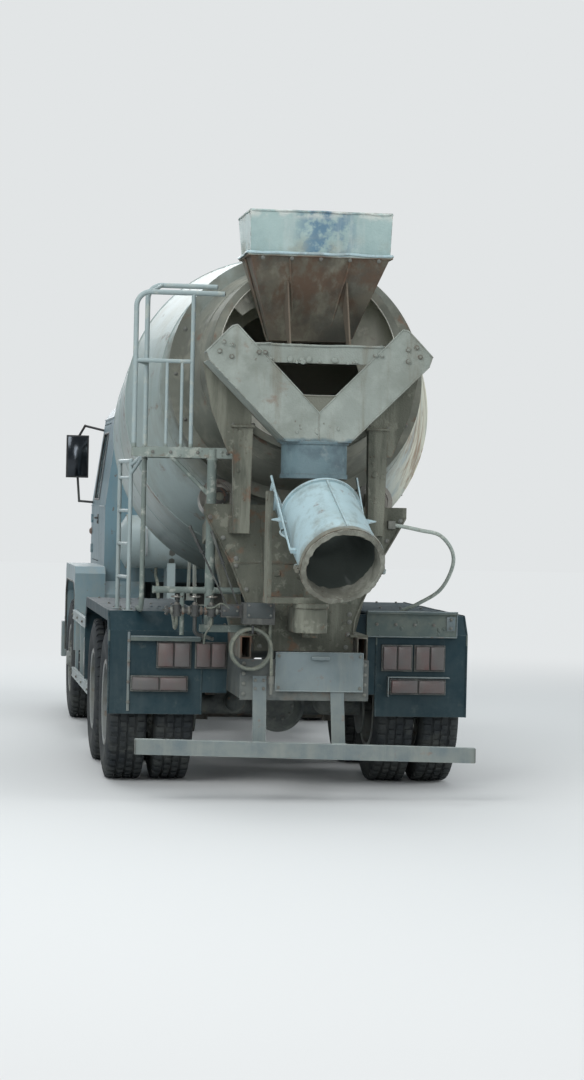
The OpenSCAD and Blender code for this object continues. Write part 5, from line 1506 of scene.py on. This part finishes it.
REAR_LAMPS = (
    # left edge, right edge, foot, head, depth of the housing
    (0.434, 0.655, 0.815, 1.0, 0.022),
    (0.68, 0.92, 0.815, 1.0, 0.022),
    (-1.09, -0.87, 0.815, 1.0, 0.022),
    (-0.86, -0.64, 0.815, 1.0, 0.022),
    (-1.095, -0.7, 0.655, 0.765, 0.037),
    (0.7, 1.095, 0.655, 0.765, 0.037),
)


class MIXER_OT_rear_lamps(bpy.types.Operator):
    """Builds the rear lamps with their housings, crowned lenses and screws"""

    bl_idname = "mixer.rear_lamps"
    bl_label = "Rear lamps"

    def execute(self, context):
        housings, lenses, screws = [], [], []
        frame_width, screw_in, screw_off = 0.0105, 0.006, 0.02
        for x0, x1, z0, z1, depth in REAR_LAMPS:
            face = LAMP_PANEL_Y + depth
            housing = block((x0, LAMP_PANEL_Y, z0), (x1, face, z1), 0.005)
            open_mesh(housing)
            pick(housing, lambda f: f.normal.y > 0.99 and f.calc_area() > 0.004)
            inset(0.003)
            inset(0.0015, -0.006)
            close_mesh()
            housings.append(housing)
            middle = (x0 + x1) / 2
            for a, b in ((x0 + frame_width, middle - 0.004), (middle + 0.004, x1 - frame_width)):
                low, high = (a, face - 0.007, z0 + frame_width), (b, face + 0.013, z1 - frame_width)
                lenses.append(block(low, high, 0.008, 3))
            for x in (x0 + screw_in, x1 - screw_in):
                screws += row((x, face + 0.0002, z0 + screw_off), (x, face + 0.0002, z1 - screw_off), 2, REAR)
        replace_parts(put("rear_lamp_housings", housings, "black"), "rear_lamps")
        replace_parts(put("rear_lamp_lenses", lenses, "red_lens", 50), "rear_lamps")
        bolts("rear_lamp_screws", screws, 0.0028, 0.002)
        return {"FINISHED"}


class MIXER_OT_guard_trim(bpy.types.Operator):
    """Rolls the mudguards' edges, bolts their stays and boards, and adds the angle over the lower lamp"""

    bl_idname = "mixer.guard_trim"
    bl_label = "Mudguard trim"

    def execute(self, context):
        panel, board = LAMP_PANEL_Y, LAMP_PANEL_Y + 0.039
        rear, front = panel - 0.0003, AXLE_2_Y - 0.62
        outline = [(rear, 0.5), (rear, 1.07), (rear - 0.11, 1.2)]
        outline += [(front + 0.11, 1.2), (front, 1.07), (front, 0.56)]
        edges = []
        for side in SIDES:
            for x in (1.244, 0.606):
                route = [(side * x, y, z) for y, z in outline]
                edges.append(bar(wavy(route, 0.0015, 20 + side), 0.0065, 0.02))
        put("guard_beads", edges, "guard")

        strips = []
        for x0, x1, y, z in ((0.62, 1.1, panel + 0.037, 1.0305), (-1.165, -0.53, panel + 0.06, 1.2305)):
            strips.append(bar(wavy([(x0, y, z), (x1, y, z)], 0.0015, 31), 0.0055, 0.02))
        board_edge = at_y(board, ((-1.163, 1.22), (-1.163, 1.055), (-0.533, 1.055)))
        strips.append(bar(wavy(board_edge, 0.0015, 33), 0.004, 0.01))
        for low, high, edge in (
            # Angle round the lower right lamp
            ((-1.12, panel - 0.0005, 0.7705), (-0.685, panel + 0.05, 0.7785), 0.002),
            ((-0.693, panel - 0.0005, 0.64), (-0.685, panel + 0.05, 0.78), 0.002),
            # Bracket at the board's outer end, and a folded strip down the left guard
            ((-1.15, panel + 0.037, 1.1), (-1.09, panel + 0.046, 1.2), 0.003),
            ((1.1, panel - 0.0015, 0.52), (1.118, panel + 0.008, 1.06), 0.003),
        ):
            strips.append(block(low, high, edge))
        put("guard_strips", strips, "bar")

        heads = row((-1.12, panel + 0.0465, 1.12), (-1.12, panel + 0.0465, 1.18), 2, REAR)
        heads += row((-1.0, panel + 0.038, 1.14), (-0.6, panel + 0.038, 1.14), 4, REAR)
        heads += row((1.109, panel + 0.0083, 0.58), (1.109, panel + 0.0083, 1.0), 4, REAR)
        tops = []
        for y in (0.42, 1.475, 2.53):
            tops += row((0.7, y, 1.2002), (1.16, y, 1.2002), 4, UP)
        bolts("guard_bolts", heads + both_ways(tops), 0.009, 0.007)
        spots = [((side * 0.9 - 0.25, 0.35, 1.2), (0.5, 0, 0), (0, 2.2, 0), UP, 26) for side in SIDES]
        spots.append(((-1.16, panel + 0.038, 1.055), (0.62, 0, 0), (0, 0, 0.12), REAR, 12))
        splashes("guard_splashes", spots, 11, 0.016, "guard")
        return {"FINISHED"}


class MIXER_OT_bar_trim(bpy.types.Operator):
    """Closes the underride bar's ends, and bolts its brackets and the plate"""

    bl_idname = "mixer.bar_trim"
    bl_label = "Underride bar trim"

    def execute(self, context):
        face, plate = FRAME_END + 0.0225, FRAME_END + 0.0305
        heads = []
        for x in (0.272, 0.328):
            heads += row((x, face, 0.79), (x, face, 0.735), 2, REAR)
        for z in (0.745, 0.955):
            heads += row((-0.37, plate, z), (0.175, plate, z), 2, REAR)
        bolts("plate_bolts", heads, 0.009, 0.007)

        plate_edge = ((-0.388, 0.722), (0.195, 0.722), (0.195, 0.978), (-0.388, 0.978), (-0.388, 0.722))
        fold = bar(wavy(at_y(plate - 0.001, plate_edge), 0.001, 41), 0.0035, 0.01)
        # Lamp for the blank plate, on its edge
        hood = block((-0.16, plate - 0.002, 0.93), (-0.04, plate + 0.035, 0.952), 0.006)
        put("plate_folds", [fold, hood], "bar")

        ends = []
        for side in SIDES:
            x, z = side * 1.1265, 0.34 + side * 1.122 * math.tan(math.radians(1))
            low, high = (x - 0.002, AXLE_3_Y + 1.482, z - 0.046), (x + 0.002, AXLE_3_Y + 1.5485, z + 0.046)
            ends.append(block(low, high, 0.001))
        put("bar_caps", ends, "black")
        spots = [((-1.0, AXLE_3_Y + 1.5, 0.372), (2.0, 0, 0.035), (0, 0.03, 0), UP, 24)]
        splashes("bar_splashes", spots, 17, 0.011, "bar")
        return {"FINISHED"}


# Pedestals, platform and valves

APRON = ((0.33, 0.98), (0.35, 1.2), (0.5, 1.56), (0.68, 1.88))


class MIXER_OT_pedestal_trim(bpy.types.Operator):
    """Flanges, ribs, bolts and bearing caps on both pedestals, and the slurry that has set there"""

    bl_idname = "mixer.pedestal_trim"
    bl_label = "Pedestal trim"

    def execute(self, context):
        post = AXLE_3_Y + 1.4102
        seam_y = APRON_Y - 0.001
        ribs = []
        for side in SIDES:
            flange = [(side * (x - 0.006), APRON_Y + 0.001, z) for x, z in APRON]
            ribs.append(bar(wavy(flange, 0.003, 50 + side), 0.008, 0.03))
            seam = at_y(seam_y, ((0.28, 1.45), (0.3, 1.86)), side)
            ribs.append(bar(wavy(seam, 0.003, 53 + side), 0.006, 0.02))
        ribs.append(bar(wavy(at_y(seam_y, ((-0.5, 1.56), (0.5, 1.56))), 0.003, 57), 0.006, 0.02))
        put("apron_ribs", ribs, "pedestal")

        heads, face = [], APRON_Y + 0.0005
        for (xa, za), (xb, zb) in zip(APRON, APRON[1:]):
            heads += row((xa - 0.04, face, za + 0.03), (xb - 0.04, face, zb - 0.02), 3, REAR)
        heads += row((0.35, AXLE_3_Y + 0.3, 1.0942), (0.35, FRAME_END - 0.12, 1.0942), 5, UP)
        heads += row((0.39, AXLE_3_Y + 1.3, 2.4702), (0.51, AXLE_3_Y + 1.3, 2.4702), 2, UP)
        for y in (AXLE_3_Y + 1.345, AXLE_3_Y + 1.395):
            heads += row((0.3825, y, 2.4702), (0.5175, y, 2.4702), 2, UP)
        bolts("pedestal_bolts", both_ways(heads), 0.012, 0.009)

        # Bearings of the two support rollers
        reach, spread = 1.0103, math.radians(32)
        caps = []
        for side in SIDES:
            for end in SIDES:
                centre = (side * reach * math.sin(spread), -reach * math.cos(spread), 0.655 + end * 0.1155)
                local = Matrix.Translation(centre)
                caps.append(IN_DRUM @ (local @ FLIPPED if end < 0 else local))
        profile = [(0.0305, -0.001), (0.062, -0.001), (0.062, 0.01)]
        profile += [(0.05, 0.02), (0.034, 0.024), (0.0305, 0.02)]
        put("bearing_caps", many(turned(profile, 28), caps), "cast", 35)
        bearing = [place for cap in caps for place in ring_of(4, 0.054, 0.0105, 0.4, cap)]
        bolts("bearing_bolts", bearing, 0.005, 0.004)

        spots = [
            ((-0.3, face, 1.02), (0.6, 0, 0), (0, 0, 0.5), REAR, 26),
            ((-0.5, face, 1.62), (1.0, 0, 0), (0, 0, 0.24), REAR, 14),
            ((-0.105, APRON_Y, 1.2803), (0.21, 0, 0), (0, 0.24, 0), UP, 14),
            ((0.39, AXLE_3_Y + 1.3305, 1.9), (0.1, 0, 0), (0, 0, 0.5), (0, -1, 0), 1),
            ((0.4, post, 1.95), (0.09, 0, 0), (0, 0, 0.5), REAR, 8),
            ((-0.49, post, 1.95), (0.09, 0, 0), (0, 0, 0.5), REAR, 8),
            ((-0.33, FRAME_END - 0.3, 1.0942), (0.0, 0, 0), (0, 0.2, 0), UP, 4),
        ]
        splashes("pedestal_splashes", spots, 23, 0.024, "pedestal")
        return {"FINISHED"}


class MIXER_OT_platform_trim(bpy.types.Operator):
    """Weld collars, caps and bolts on the platform and the ladder"""

    bl_idname = "mixer.platform_trim"
    bl_label = "Platform and ladder trim"

    def execute(self, context):
        y0, y1 = AXLE_3_Y + 0.75, POST_Y
        rings("pole_collars", "deck", [facing((1.04, y0, z), UP) for z in (2.322, 2.24)], 0.0172)
        post = [facing((0.62, y1, z), UP) for z in (1.136, 2.243)]
        rings("post_collars", "deck", post, 0.0322, 0.006, 0.014)
        thin = [facing((x, y1, 2.322), UP) for x in (0.833, 0.933)]
        rings("baluster_collars", "deck", thin, 0.0112, 0.004, 0.01)
        thick = [facing((x, y1, 1.37), LEFT) for x in (0.345, 0.588, 0.652, 0.995)]
        rings("rail_collars", "deck", thick, 0.0222, 0.004, 0.012)

        cap = turned([(0, 0.007), (0.01, 0.0055), (0.0165, 0.001), (0.0165, -0.001), (0, -0.001)], 16)
        ends = [facing((0.57, y0, 3.42), (-1, 0, 0)), facing((0.56, y1, 3.345), (-1, 0, 0))]
        ends.append(facing((1.145, y1, 2.26), (0, 0, -1)))
        put("pipe_caps", many(cap, ends), "black", 40)

        heads = row((0.36, y1, 1.1402), (0.66, y1, 1.1402), 3, UP)
        heads = [h for h in heads if abs(h.translation.x - 0.62) > 0.05]
        heads += [facing((x, AXLE_3_Y + 1.1503, 2.285), REAR, x * 8) for x in (0.52, 0.72, 0.9, 1.02)]
        bolts("platform_bolts", heads, 0.009, 0.007)

        feet, foot_bolts = [], []
        for x, y in ((1.11, 2.64), (1.16, 2.30)):
            feet.append(block((x - 0.035, y - 0.03, 1.2002), (x + 0.035, y + 0.03, 1.206), 0.002))
            foot_bolts += row((x - 0.024, y, 1.2062), (x + 0.024, y, 1.2062), 2, UP)
        put("ladder_feet", feet, "pipe")
        bolts("ladder_bolts", foot_bolts, 0.007, 0.006)
        welds = []
        way = Vector((0.05, -0.34, 0)).normalized()
        for i in range(1, 5):
            z = 1.2 + 1.03 * i / 4.5
            welds.append(facing(Vector((1.11, 2.64, z)) + way * 0.017, way))
            welds.append(facing(Vector((1.16, 2.30, z)) - way * 0.017, way))
        rings("rung_welds", "pipe", welds, 0.0118, 0.004, 0.008)
        spots = [
            ((0.5, y1 - 0.1, 2.32), (0.5, 0, 0), (0, 0.1, 0), UP, 16),
            ((0.76, y0 + 0.03, 2.32), (0.24, 0, 0), (0, 0.25, 0), UP, 14),
            ((0.5, AXLE_3_Y + 1.1503, 2.255), (0.52, 0, 0), (0, 0, 0.05), REAR, 9),
        ]
        splashes("platform_splashes", spots, 29, 0.017, "deck")
        return {"FINISHED"}


class MIXER_OT_valve_trim(bpy.types.Operator):
    """Hand wheels, unions, small pipes and knobs of the water valves and the drum's levers"""

    bl_idname = "mixer.valve_trim"
    bl_label = "Valves and levers"

    def execute(self, context):
        y, z = AXLE_3_Y + 1.29, VALVE_Z + 0.08
        parts_of_wheel = (
            ([(0.0345, -0.005), (0.0395, -0.004), (0.041, 0.001), (0.0395, 0.006), (0.0345, 0.0055)], 24),
            ([(0, 0.0045), (0.009, 0.0045), (0.009, 0.012), (0.006, 0.015), (0, 0.015)], 6),
            ([(0.008, -0.054), (0.018, -0.054), (0.018, -0.042), (0.012, -0.034), (0.008, -0.034)], 8),
        )
        wheels = [
            turned(profile, steps, Matrix.Translation((x, y, z + 0.091)))
            for x in (0.62, 0.73, 0.85)
            for profile, steps in parts_of_wheel
        ]
        put("hand_wheels", wheels, "roller", 30)

        unions = [facing((x, y, z), LEFT) for x in (0.585, 0.66, 0.69, 0.77, 0.81, 0.886)]
        rings("pipe_unions", "bolt", unions, 0.0202, 0.009, 0.016)
        bolts("flange_nuts", ring_of(4, 0.024, 0.0, 0.4, facing((0.9242, y, z), LEFT)), 0.005, 0.004)

        feed = [(0.85, y, z - 0.03), (0.85, y, z - 0.09)]
        feed += [(0.85, y - 0.12, z - 0.13), (0.85, y - 0.3, z - 0.03)]
        bleed = [(0.62, y, z - 0.035), (0.62, y + 0.012, z - 0.1)]
        bleed += [(0.66, y + 0.012, z - 0.15), (0.66, y - 0.05, z - 0.22)]
        link = [(0.505, y + 0.032, z + 0.02), (0.56, y + 0.036, z + 0.06)]
        link += [(0.61, y + 0.036, z + 0.02), (0.66, y + 0.026, z + 0.02)]
        put("small_pipes", [bar(feed, 0.011, 0.04), bar(bleed, 0.007, 0.03), bar(link, 0.006, 0.03)], "hose")

        ball = [(0, 0.012), (0.009, 0.009), (0.0135, 0.0), (0.0115, -0.012), (0.006, -0.014), (0, -0.014)]
        boot = [(0.006, -0.004), (0.016, -0.004), (0.016, 0.004), (0.006, 0.004)]
        knobs = []
        for foot_x, foot_z, top_x, top_z in ((0.692, 1.628, 0.774, 1.791), (0.551, 1.558, 0.628, 1.761)):
            way = Vector((top_x - foot_x, 0, top_z - foot_z))
            knobs.append(turned(ball, 16, facing((top_x, y, top_z), way)))
            knobs.append(turned(boot, 16, facing((foot_x, y, foot_z), way)))
        put("lever_knobs", knobs, "black", 40)

        cover = block((0.225, FRAME_END + 0.0095, 1.2), (0.4, FRAME_END + 0.0645, 1.303), 0.006)
        gate = block((0.44, y + 0.0295, 1.21), (0.55, y + 0.037, 1.278), 0.003)
        put("valve_covers", [cover, gate], "frame_steel")
        heads = []
        for x0, x1, face, height in (
            (0.24, 0.385, FRAME_END + 0.0647, 1.22),
            (0.24, 0.385, FRAME_END + 0.0647, 1.285),
            (0.452, 0.538, y + 0.0372, 1.244),
        ):
            heads += row((x0, face, height), (x1, face, height), 2, REAR)
        bolts("valve_bolts", heads, 0.006, 0.005)
        return {"FINISHED"}


# Frame and tanks


class MIXER_OT_frame_trim(bpy.types.Operator):
    """Subframe clamps, bolts, brake chambers and the side guards' fixings"""

    bl_idname = "mixer.frame_trim"
    bl_label = "Frame trim"

    def execute(self, context):
        web, clamp_face = 0.4302, 0.4384
        clamps, heads = [], []
        for y in (-1.62, -0.72, 0.02, 1.475):
            clamps.append(block((web, y - 0.06, 0.84), (0.4382, y + 0.06, 1.03), 0.003))
            for z in (0.87, 0.91, 0.98):
                heads += row((clamp_face, y - 0.035, z), (clamp_face, y + 0.035, z), 2, LEFT)
        for y in (-4.22, -1.63, 0.1, 2.57):
            for z in (0.76, 0.84):
                heads += row((web, y - 0.04, z), (web, y + 0.04, z), 2, LEFT)
        put("subframe_clamps", with_twin(joined(clamps)), "subframe")
        heads += row((0.405, FRAME_END + 0.0102, 0.7), (0.405, FRAME_END + 0.0102, 0.9), 4, REAR)
        bolts("frame_bolts", both_ways(heads), 0.010, 0.008)

        chamber = [(0, 0.0), (0.03, 0.0), (0.045, 0.006), (0.068, 0.02), (0.074, 0.05), (0.082, 0.054)]
        chamber += [(0.082, 0.066), (0.074, 0.07), (0.07, 0.11), (0.06, 0.135), (0.04, 0.147), (0, 0.15)]
        places, brackets = [], []
        for y in (AXLE_2_Y, AXLE_3_Y):
            for x in (-0.32, 0.32):
                places.append(facing((x, y + 0.11, 0.55), (0, 1, 0.12)))
                brackets.append(block((x - 0.04, y + 0.06, 0.51), (x + 0.04, y + 0.118, 0.59), 0.006))
        put("brake_chambers", many(turned(chamber, 28), places), "frame_steel", 40)
        put("brake_brackets", brackets, "cast")
        covers = [facing((0, y + 0.1302, AXLE_Z), REAR) for y in (AXLE_2_Y, AXLE_3_Y)]
        heads = [head for cover in covers for head in ring_of(10, 0.098, 0.0, place=cover)]
        bolts("axle_bolts", heads, 0.008, 0.007)

        stations = (-2.12, -1.44, -0.76, 0.04)
        heads = [facing((1.2132, y - 0.01, z), LEFT) for z in (0.4675, 0.9625) for y in stations]
        bolts("side_guard_bolts", both_ways(heads), 0.009, 0.007)
        edges = [z0 + up for z0 in (0.43, 0.925) for up in (0.003, 0.072)]
        lips = joined([bar([(1.212, -2.14, z), (1.212, 0.06, z)], 0.0045, 0.0) for z in edges])
        put("side_guard_lips", with_twin(lips), "trim")
        return {"FINISHED"}


def tank_section(angle, y):
    """A point on the fuel tank's edge, a box with full round corners."""
    c, s = math.cos(angle), math.sin(angle)
    return 0.85 + 0.29 * math.copysign(abs(c) ** 0.6, c), y, 0.6 + 0.25 * math.copysign(abs(s) ** 0.6, s)


class MIXER_OT_tank_trim(bpy.types.Operator):
    """Caps, straps, seams and latches of the tanks and boxes"""

    bl_idname = "mixer.tank_trim"
    bl_label = "Tank and box trim"

    def execute(self, context):
        corners = [math.radians(a) for a in range(0, 360, 30)]
        outlines = [[tank_section(corner, y) for corner in corners] for y in (-2.064, -0.926)]
        put("fuel_tank_seams", [bar(loop(outline), 0.006, 0.03) for outline in outlines], "tank")
        cap = [(0, 0.027), (0.03, 0.027), (0.034, 0.022), (0.052, 0.021), (0.058, 0.016)]
        cap += [(0.058, -0.012), (0.0505, -0.014), (0.0505, 0.0005), (0, 0.0005)]
        put("fuel_cap", turned(cap, 32, Matrix.Translation((0.85, -1.87, 0.89))), "black")
        heads = []
        for y in (-1.895, -1.095):
            heads += row((1.1502, y, 0.56), (1.1502, y, 0.64), 2, LEFT)
        bolts("strap_bolts", heads, 0.008, 0.012)

        lid = block((-0.918, -2.078, 0.8602), (-0.424, -1.502, 0.886), 0.008)
        box = [lid, block((-0.917, -2.02, 0.56), (-0.9102, -1.56, 0.82), 0.005)]
        for y in (-1.93, -1.65):
            box.append(block((-0.926, y - 0.018, 0.80), (-0.9165, y + 0.018, 0.875), 0.003))
            bail = [(-0.9245, y - 0.013, 0.80), (-0.93, y - 0.013, 0.765)]
            bail += [(-0.93, y + 0.013, 0.765), (-0.9245, y + 0.013, 0.80)]
            box.append(bar(bail, 0.003, 0.008))
        put("battery_lid", box, "black")
        heads = row((-0.9174, -2.0, 0.58), (-0.9174, -1.58, 0.58), 3, (-1, 0, 0))
        bolts("battery_bolts", heads, 0.006, 0.005)

        x, levels = -0.6203, (0.59, 0.87)
        domes = [facing((x, y, z), (0, way, 0)) for z in levels for y, way in ((-0.81, 1), (-1.43, -1))]
        dome = [(0.1195, -0.002), (0.1225, -0.002), (0.1235, 0.004), (0.117, 0.008), (0.104, 0.024)]
        dome += [(0.078, 0.037), (0.04, 0.044), (0, 0.046), (0, 0.0), (0.1195, 0.0)]
        put("air_tank_domes", many(turned(dome, 36), domes), "frame_steel", 50)
        bands = [facing((x, y, z), REAR) for z in levels for y in (-1.29, -0.95)]
        rings("air_tank_bands", "bolt", bands, 0.1203, 0.0035, 0.032)

        y, z, radius = -2.22, 1.6, 0.2303
        bands = [facing((x, y, z), LEFT) for x in (-0.375, 0.375)]
        rings("water_tank_bands", "bolt", bands, radius, 0.004, 0.05)
        seams = [facing((x, y, z), LEFT) for x in (-0.758, 0.758)]
        rings("water_tank_seams", "front_stand", seams, radius, 0.006, 0.014)
        cap = [(0, 0.03), (0.05, 0.03), (0.066, 0.022), (0.066, -0.012)]
        cap += [(0.0605, -0.012), (0.0605, 0.0005), (0, 0.0005)]
        put("water_cap", turned(cap, 28, Matrix.Translation((0.2, y, 1.865))), "bolt")
        gauge = [(0.6, y + out, z) for out, z in ((0.2, 1.486), (0.255, 1.486), (0.255, 1.716), (0.2, 1.716))]
        put("gauge", bar(gauge, 0.008, 0.02), "clear_lens")
        drain = [(0.5, y + 0.05, 1.376), (0.5, y + 0.05, 1.3), (0.5, y + 0.22, 1.26), (0.5, y + 0.4, 1.0502)]
        put("drain", bar(drain, 0.014, 0.05), "hose")
        return {"FINISHED"}


# Cab

WAIST_Z = 1.9


def cab_side_x(z):
    return 0.925 - 0.125 * max(0.0, z - WAIST_Z)


def cab_front_y(z):
    return -4.43 + 0.2738 * max(0.0, z - WAIST_Z)


class MIXER_OT_cab_trim(bpy.types.Operator):
    """Window gaskets, door handles, rain gutters, marker lamps, wipers and mirror glasses"""

    bl_idname = "mixer.cab_trim"
    bl_label = "Cab trim"

    def execute(self, context):
        door_window = ((-4.12, 1.96), (-3.44, 1.96), (-3.44, 2.57), (-4.04, 2.57), (-4.12, 2.33))
        gasket = bar(loop([(cab_side_x(z) - 0.002, y, z) for y, z in door_window]), 0.009, 0.04)
        put_on_doors("door_gasket", gasket, "black")
        windscreen = ((0.78, 1.96), (0.70, 2.61), (-0.70, 2.61), (-0.78, 1.96))
        front = bar(loop([(x, cab_front_y(z) + 0.001, z) for x, z in windscreen]), 0.012, 0.06)
        rear_window = ((0.38, 2.06), (0.38, 2.45), (-0.38, 2.45), (-0.38, 2.06))
        put("cab_gaskets", [front, bar(loop(at_y(-2.5515, rear_window)), 0.010, 0.04)], "black")

        plate = block((0.9235, -3.585, 1.735), (0.9285, -3.415, 1.825), 0.002)
        pull = [(0.926, -3.565, 1.79), (0.955, -3.565, 1.79), (0.955, -3.44, 1.79), (0.926, -3.44, 1.79)]
        lock = [(0, 0.008), (0.008, 0.008), (0.011, 0.004), (0.011, 0), (0, 0)]
        handle = [plate, bar(pull, 0.0085, 0.015), turned(lock, 16, facing((0.9283, -3.5, 1.752), LEFT))]
        put_on_doors("door_handle", joined(handle), "black")

        gutters = []
        for side in SIDES:
            for x, y0, y1, z, radius in (
                (0.8262, -4.16, -2.66, 2.702, 0.009),
                (0.9262, -4.40, -4.235, WAIST_Z, 0.006),
                (0.9262, -3.32, -2.57, WAIST_Z, 0.006),
            ):
                gutters.append(bar([(side * x, y0, z), (side * x, y1, z)], radius, 0.02))
        put("cab_gutters", gutters, "cab")

        lamps = [facing((x, -4.105, 2.7985), (0, -0.518, 0.856)) for x in (-0.48, 0.48)]
        lamps += [facing((side * 0.9252, -4.33, 1.66), (side, 0, 0)) for side in SIDES]
        dome = turned([(0, 0.026), (0.018, 0.023), (0.03, 0.012), (0.033, 0.0), (0, 0.0)], 24)
        put("marker_lamps", many(dome, lamps), "amber_lens", 50)
        base = turned([(0, 0.003), (0.0385, 0.003), (0.0385, -0.003), (0, -0.003)], 24)
        put("marker_bases", many(base, lamps), "black", 40)

        wipers = []
        for x in (0.62, 0.04):
            foot = Vector((x, cab_front_y(1.945) - 0.006, 1.945))
            tip = Vector((x - 0.36, cab_front_y(2.13) - 0.018, 2.13))
            pivot = [(0, 0.022), (0.014, 0.018), (0.016, 0), (0, 0)]
            wipers.append(turned(pivot, 16, facing(foot, (0, -1, 0.27))))
            wipers.append(bar([foot + Vector((0, -0.014, 0.003)), tip], 0.005, 0.01))
            far = (x - 0.66, cab_front_y(2.07) - 0.008, 2.07)
            near = (x - 0.06, cab_front_y(2.19) - 0.008, 2.19)
            wipers.append(bar([far, tip + Vector((0, 0.008, 0)), near], 0.0065, 0.01))
        put("wipers", wipers, "black")

        glass = block((0.989, -4.2605, 2.174), (1.171, -4.2555, 2.546), 0.0022)
        back = block((0.985, -4.326, 2.17), (1.175, -4.3095, 2.55), 0.007, 3)
        put("mirror_glass", with_twin(glass), "reflector")
        put("mirror_back", with_twin(back), "black")
        return {"FINISHED"}


class MIXER_OT_front_trim(bpy.types.Operator):
    """Lamp bezels and bowls, step treads, arch lips and the grille's mesh at the front"""

    bl_idname = "mixer.front_trim"
    bl_label = "Front trim"

    def execute(self, context):
        lamp_box = ((0.762, 0.582), (1.058, 0.582), (1.058, 0.718), (0.762, 0.718))
        put("lamp_bezels", [bar(loop(at_y(-4.4985, lamp_box, side)), 0.006, 0.02) for side in SIDES], "black")
        places = [facing((side * x, -4.4958, 0.65), (0, -1, 0)) for side in SIDES for x in (0.835, 0.985)]
        bowl = turned([(0, 0.0), (0.054, 0.0), (0.056, 0.002), (0.052, 0.006), (0.03, 0.009), (0, 0.01)], 32)
        put("lamp_bowls", many(bowl, places), "clear_lens", 50)

        treads = []
        for z, wide in ((0.53, 1.165), (0.85, 1.125)):
            for k in range(6):
                y = -4.2 + 0.07 * k
                treads.append(block((0.885, y - 0.006, z - 0.0005), (wide, y + 0.006, z + 0.004), 0.0015, 1))
        put("step_treads", with_twin(joined(treads)), "bolt")

        arch = [(-3.73, 0.57), (-3.73, 1.12), (-3.6, 1.2297), (-2.5, 1.2297), (-2.37, 1.12), (-2.37, 0.645)]
        put("arch_lips", with_twin(bar([(1.1865, y, z) for y, z in arch], 0.009, 0.05)), "black")

        # Mesh behind the grille's bars
        stations = [-0.7 + 0.05 * k for k in range(29)]
        wires = [bar([(x, -4.4385, 1.362), (x, -4.4385, 1.668)], 0.0028, 0.0, 1) for x in stations]
        put("grille_mesh", wires, "black")
        heads = both_ways(row((0.45, -4.4402, 0.86), (0.72, -4.4402, 0.86), 2, (0, -1, 0)))
        bolts("bumper_bolts", heads, 0.010, 0.007)
        return {"FINISHED"}


STEPS = (
    MIXER_OT_stage,
    MIXER_OT_finishes,
    MIXER_OT_hoses,
    MIXER_OT_tyres,
    MIXER_OT_wheel_nuts,
    MIXER_OT_hopper_trim,
    MIXER_OT_collector_trim,
    MIXER_OT_chute_trim,
    MIXER_OT_blades,
    MIXER_OT_drum_trim,
    MIXER_OT_rear_lamps,
    MIXER_OT_guard_trim,
    MIXER_OT_bar_trim,
    MIXER_OT_pedestal_trim,
    MIXER_OT_platform_trim,
    MIXER_OT_valve_trim,
    MIXER_OT_frame_trim,
    MIXER_OT_tank_trim,
    MIXER_OT_cab_trim,
    MIXER_OT_front_trim,
)


class MIXER_PT_panel(bpy.types.Panel):
    bl_label = "Mixer truck"
    bl_idname = "MIXER_PT_panel"
    bl_space_type = "VIEW_3D"
    bl_region_type = "UI"
    bl_category = "Mixer truck"

    def draw(self, context):
        for step in STEPS:
            self.layout.operator(step.bl_idname)
        for group in (context.scene.mixer_sizes, context.scene.mixer_colours):
            for name in group.bl_rna.properties.keys():
                if name not in ("rna_type", "name"):
                    self.layout.prop(group, name)


CLASSES = (MixerColours, MixerSizes, *STEPS, MIXER_PT_panel)


def register():
    for cls in CLASSES:
        bpy.utils.register_class(cls)
    bpy.types.Scene.mixer_colours = PointerProperty(type=MixerColours)
    bpy.types.Scene.mixer_sizes = PointerProperty(type=MixerSizes)


def unregister():
    del bpy.types.Scene.mixer_sizes
    del bpy.types.Scene.mixer_colours
    for cls in reversed(CLASSES):
        bpy.utils.unregister_class(cls)


def plain(box):
    return [[round(float(v), 6) for v in corner] for corner in box]


def main():
    register()
    for step in STEPS:
        group, name = step.bl_idname.split(".")
        getattr(getattr(bpy.ops, group), name)()
    deselect()


if __name__ == "__main__":
    main()
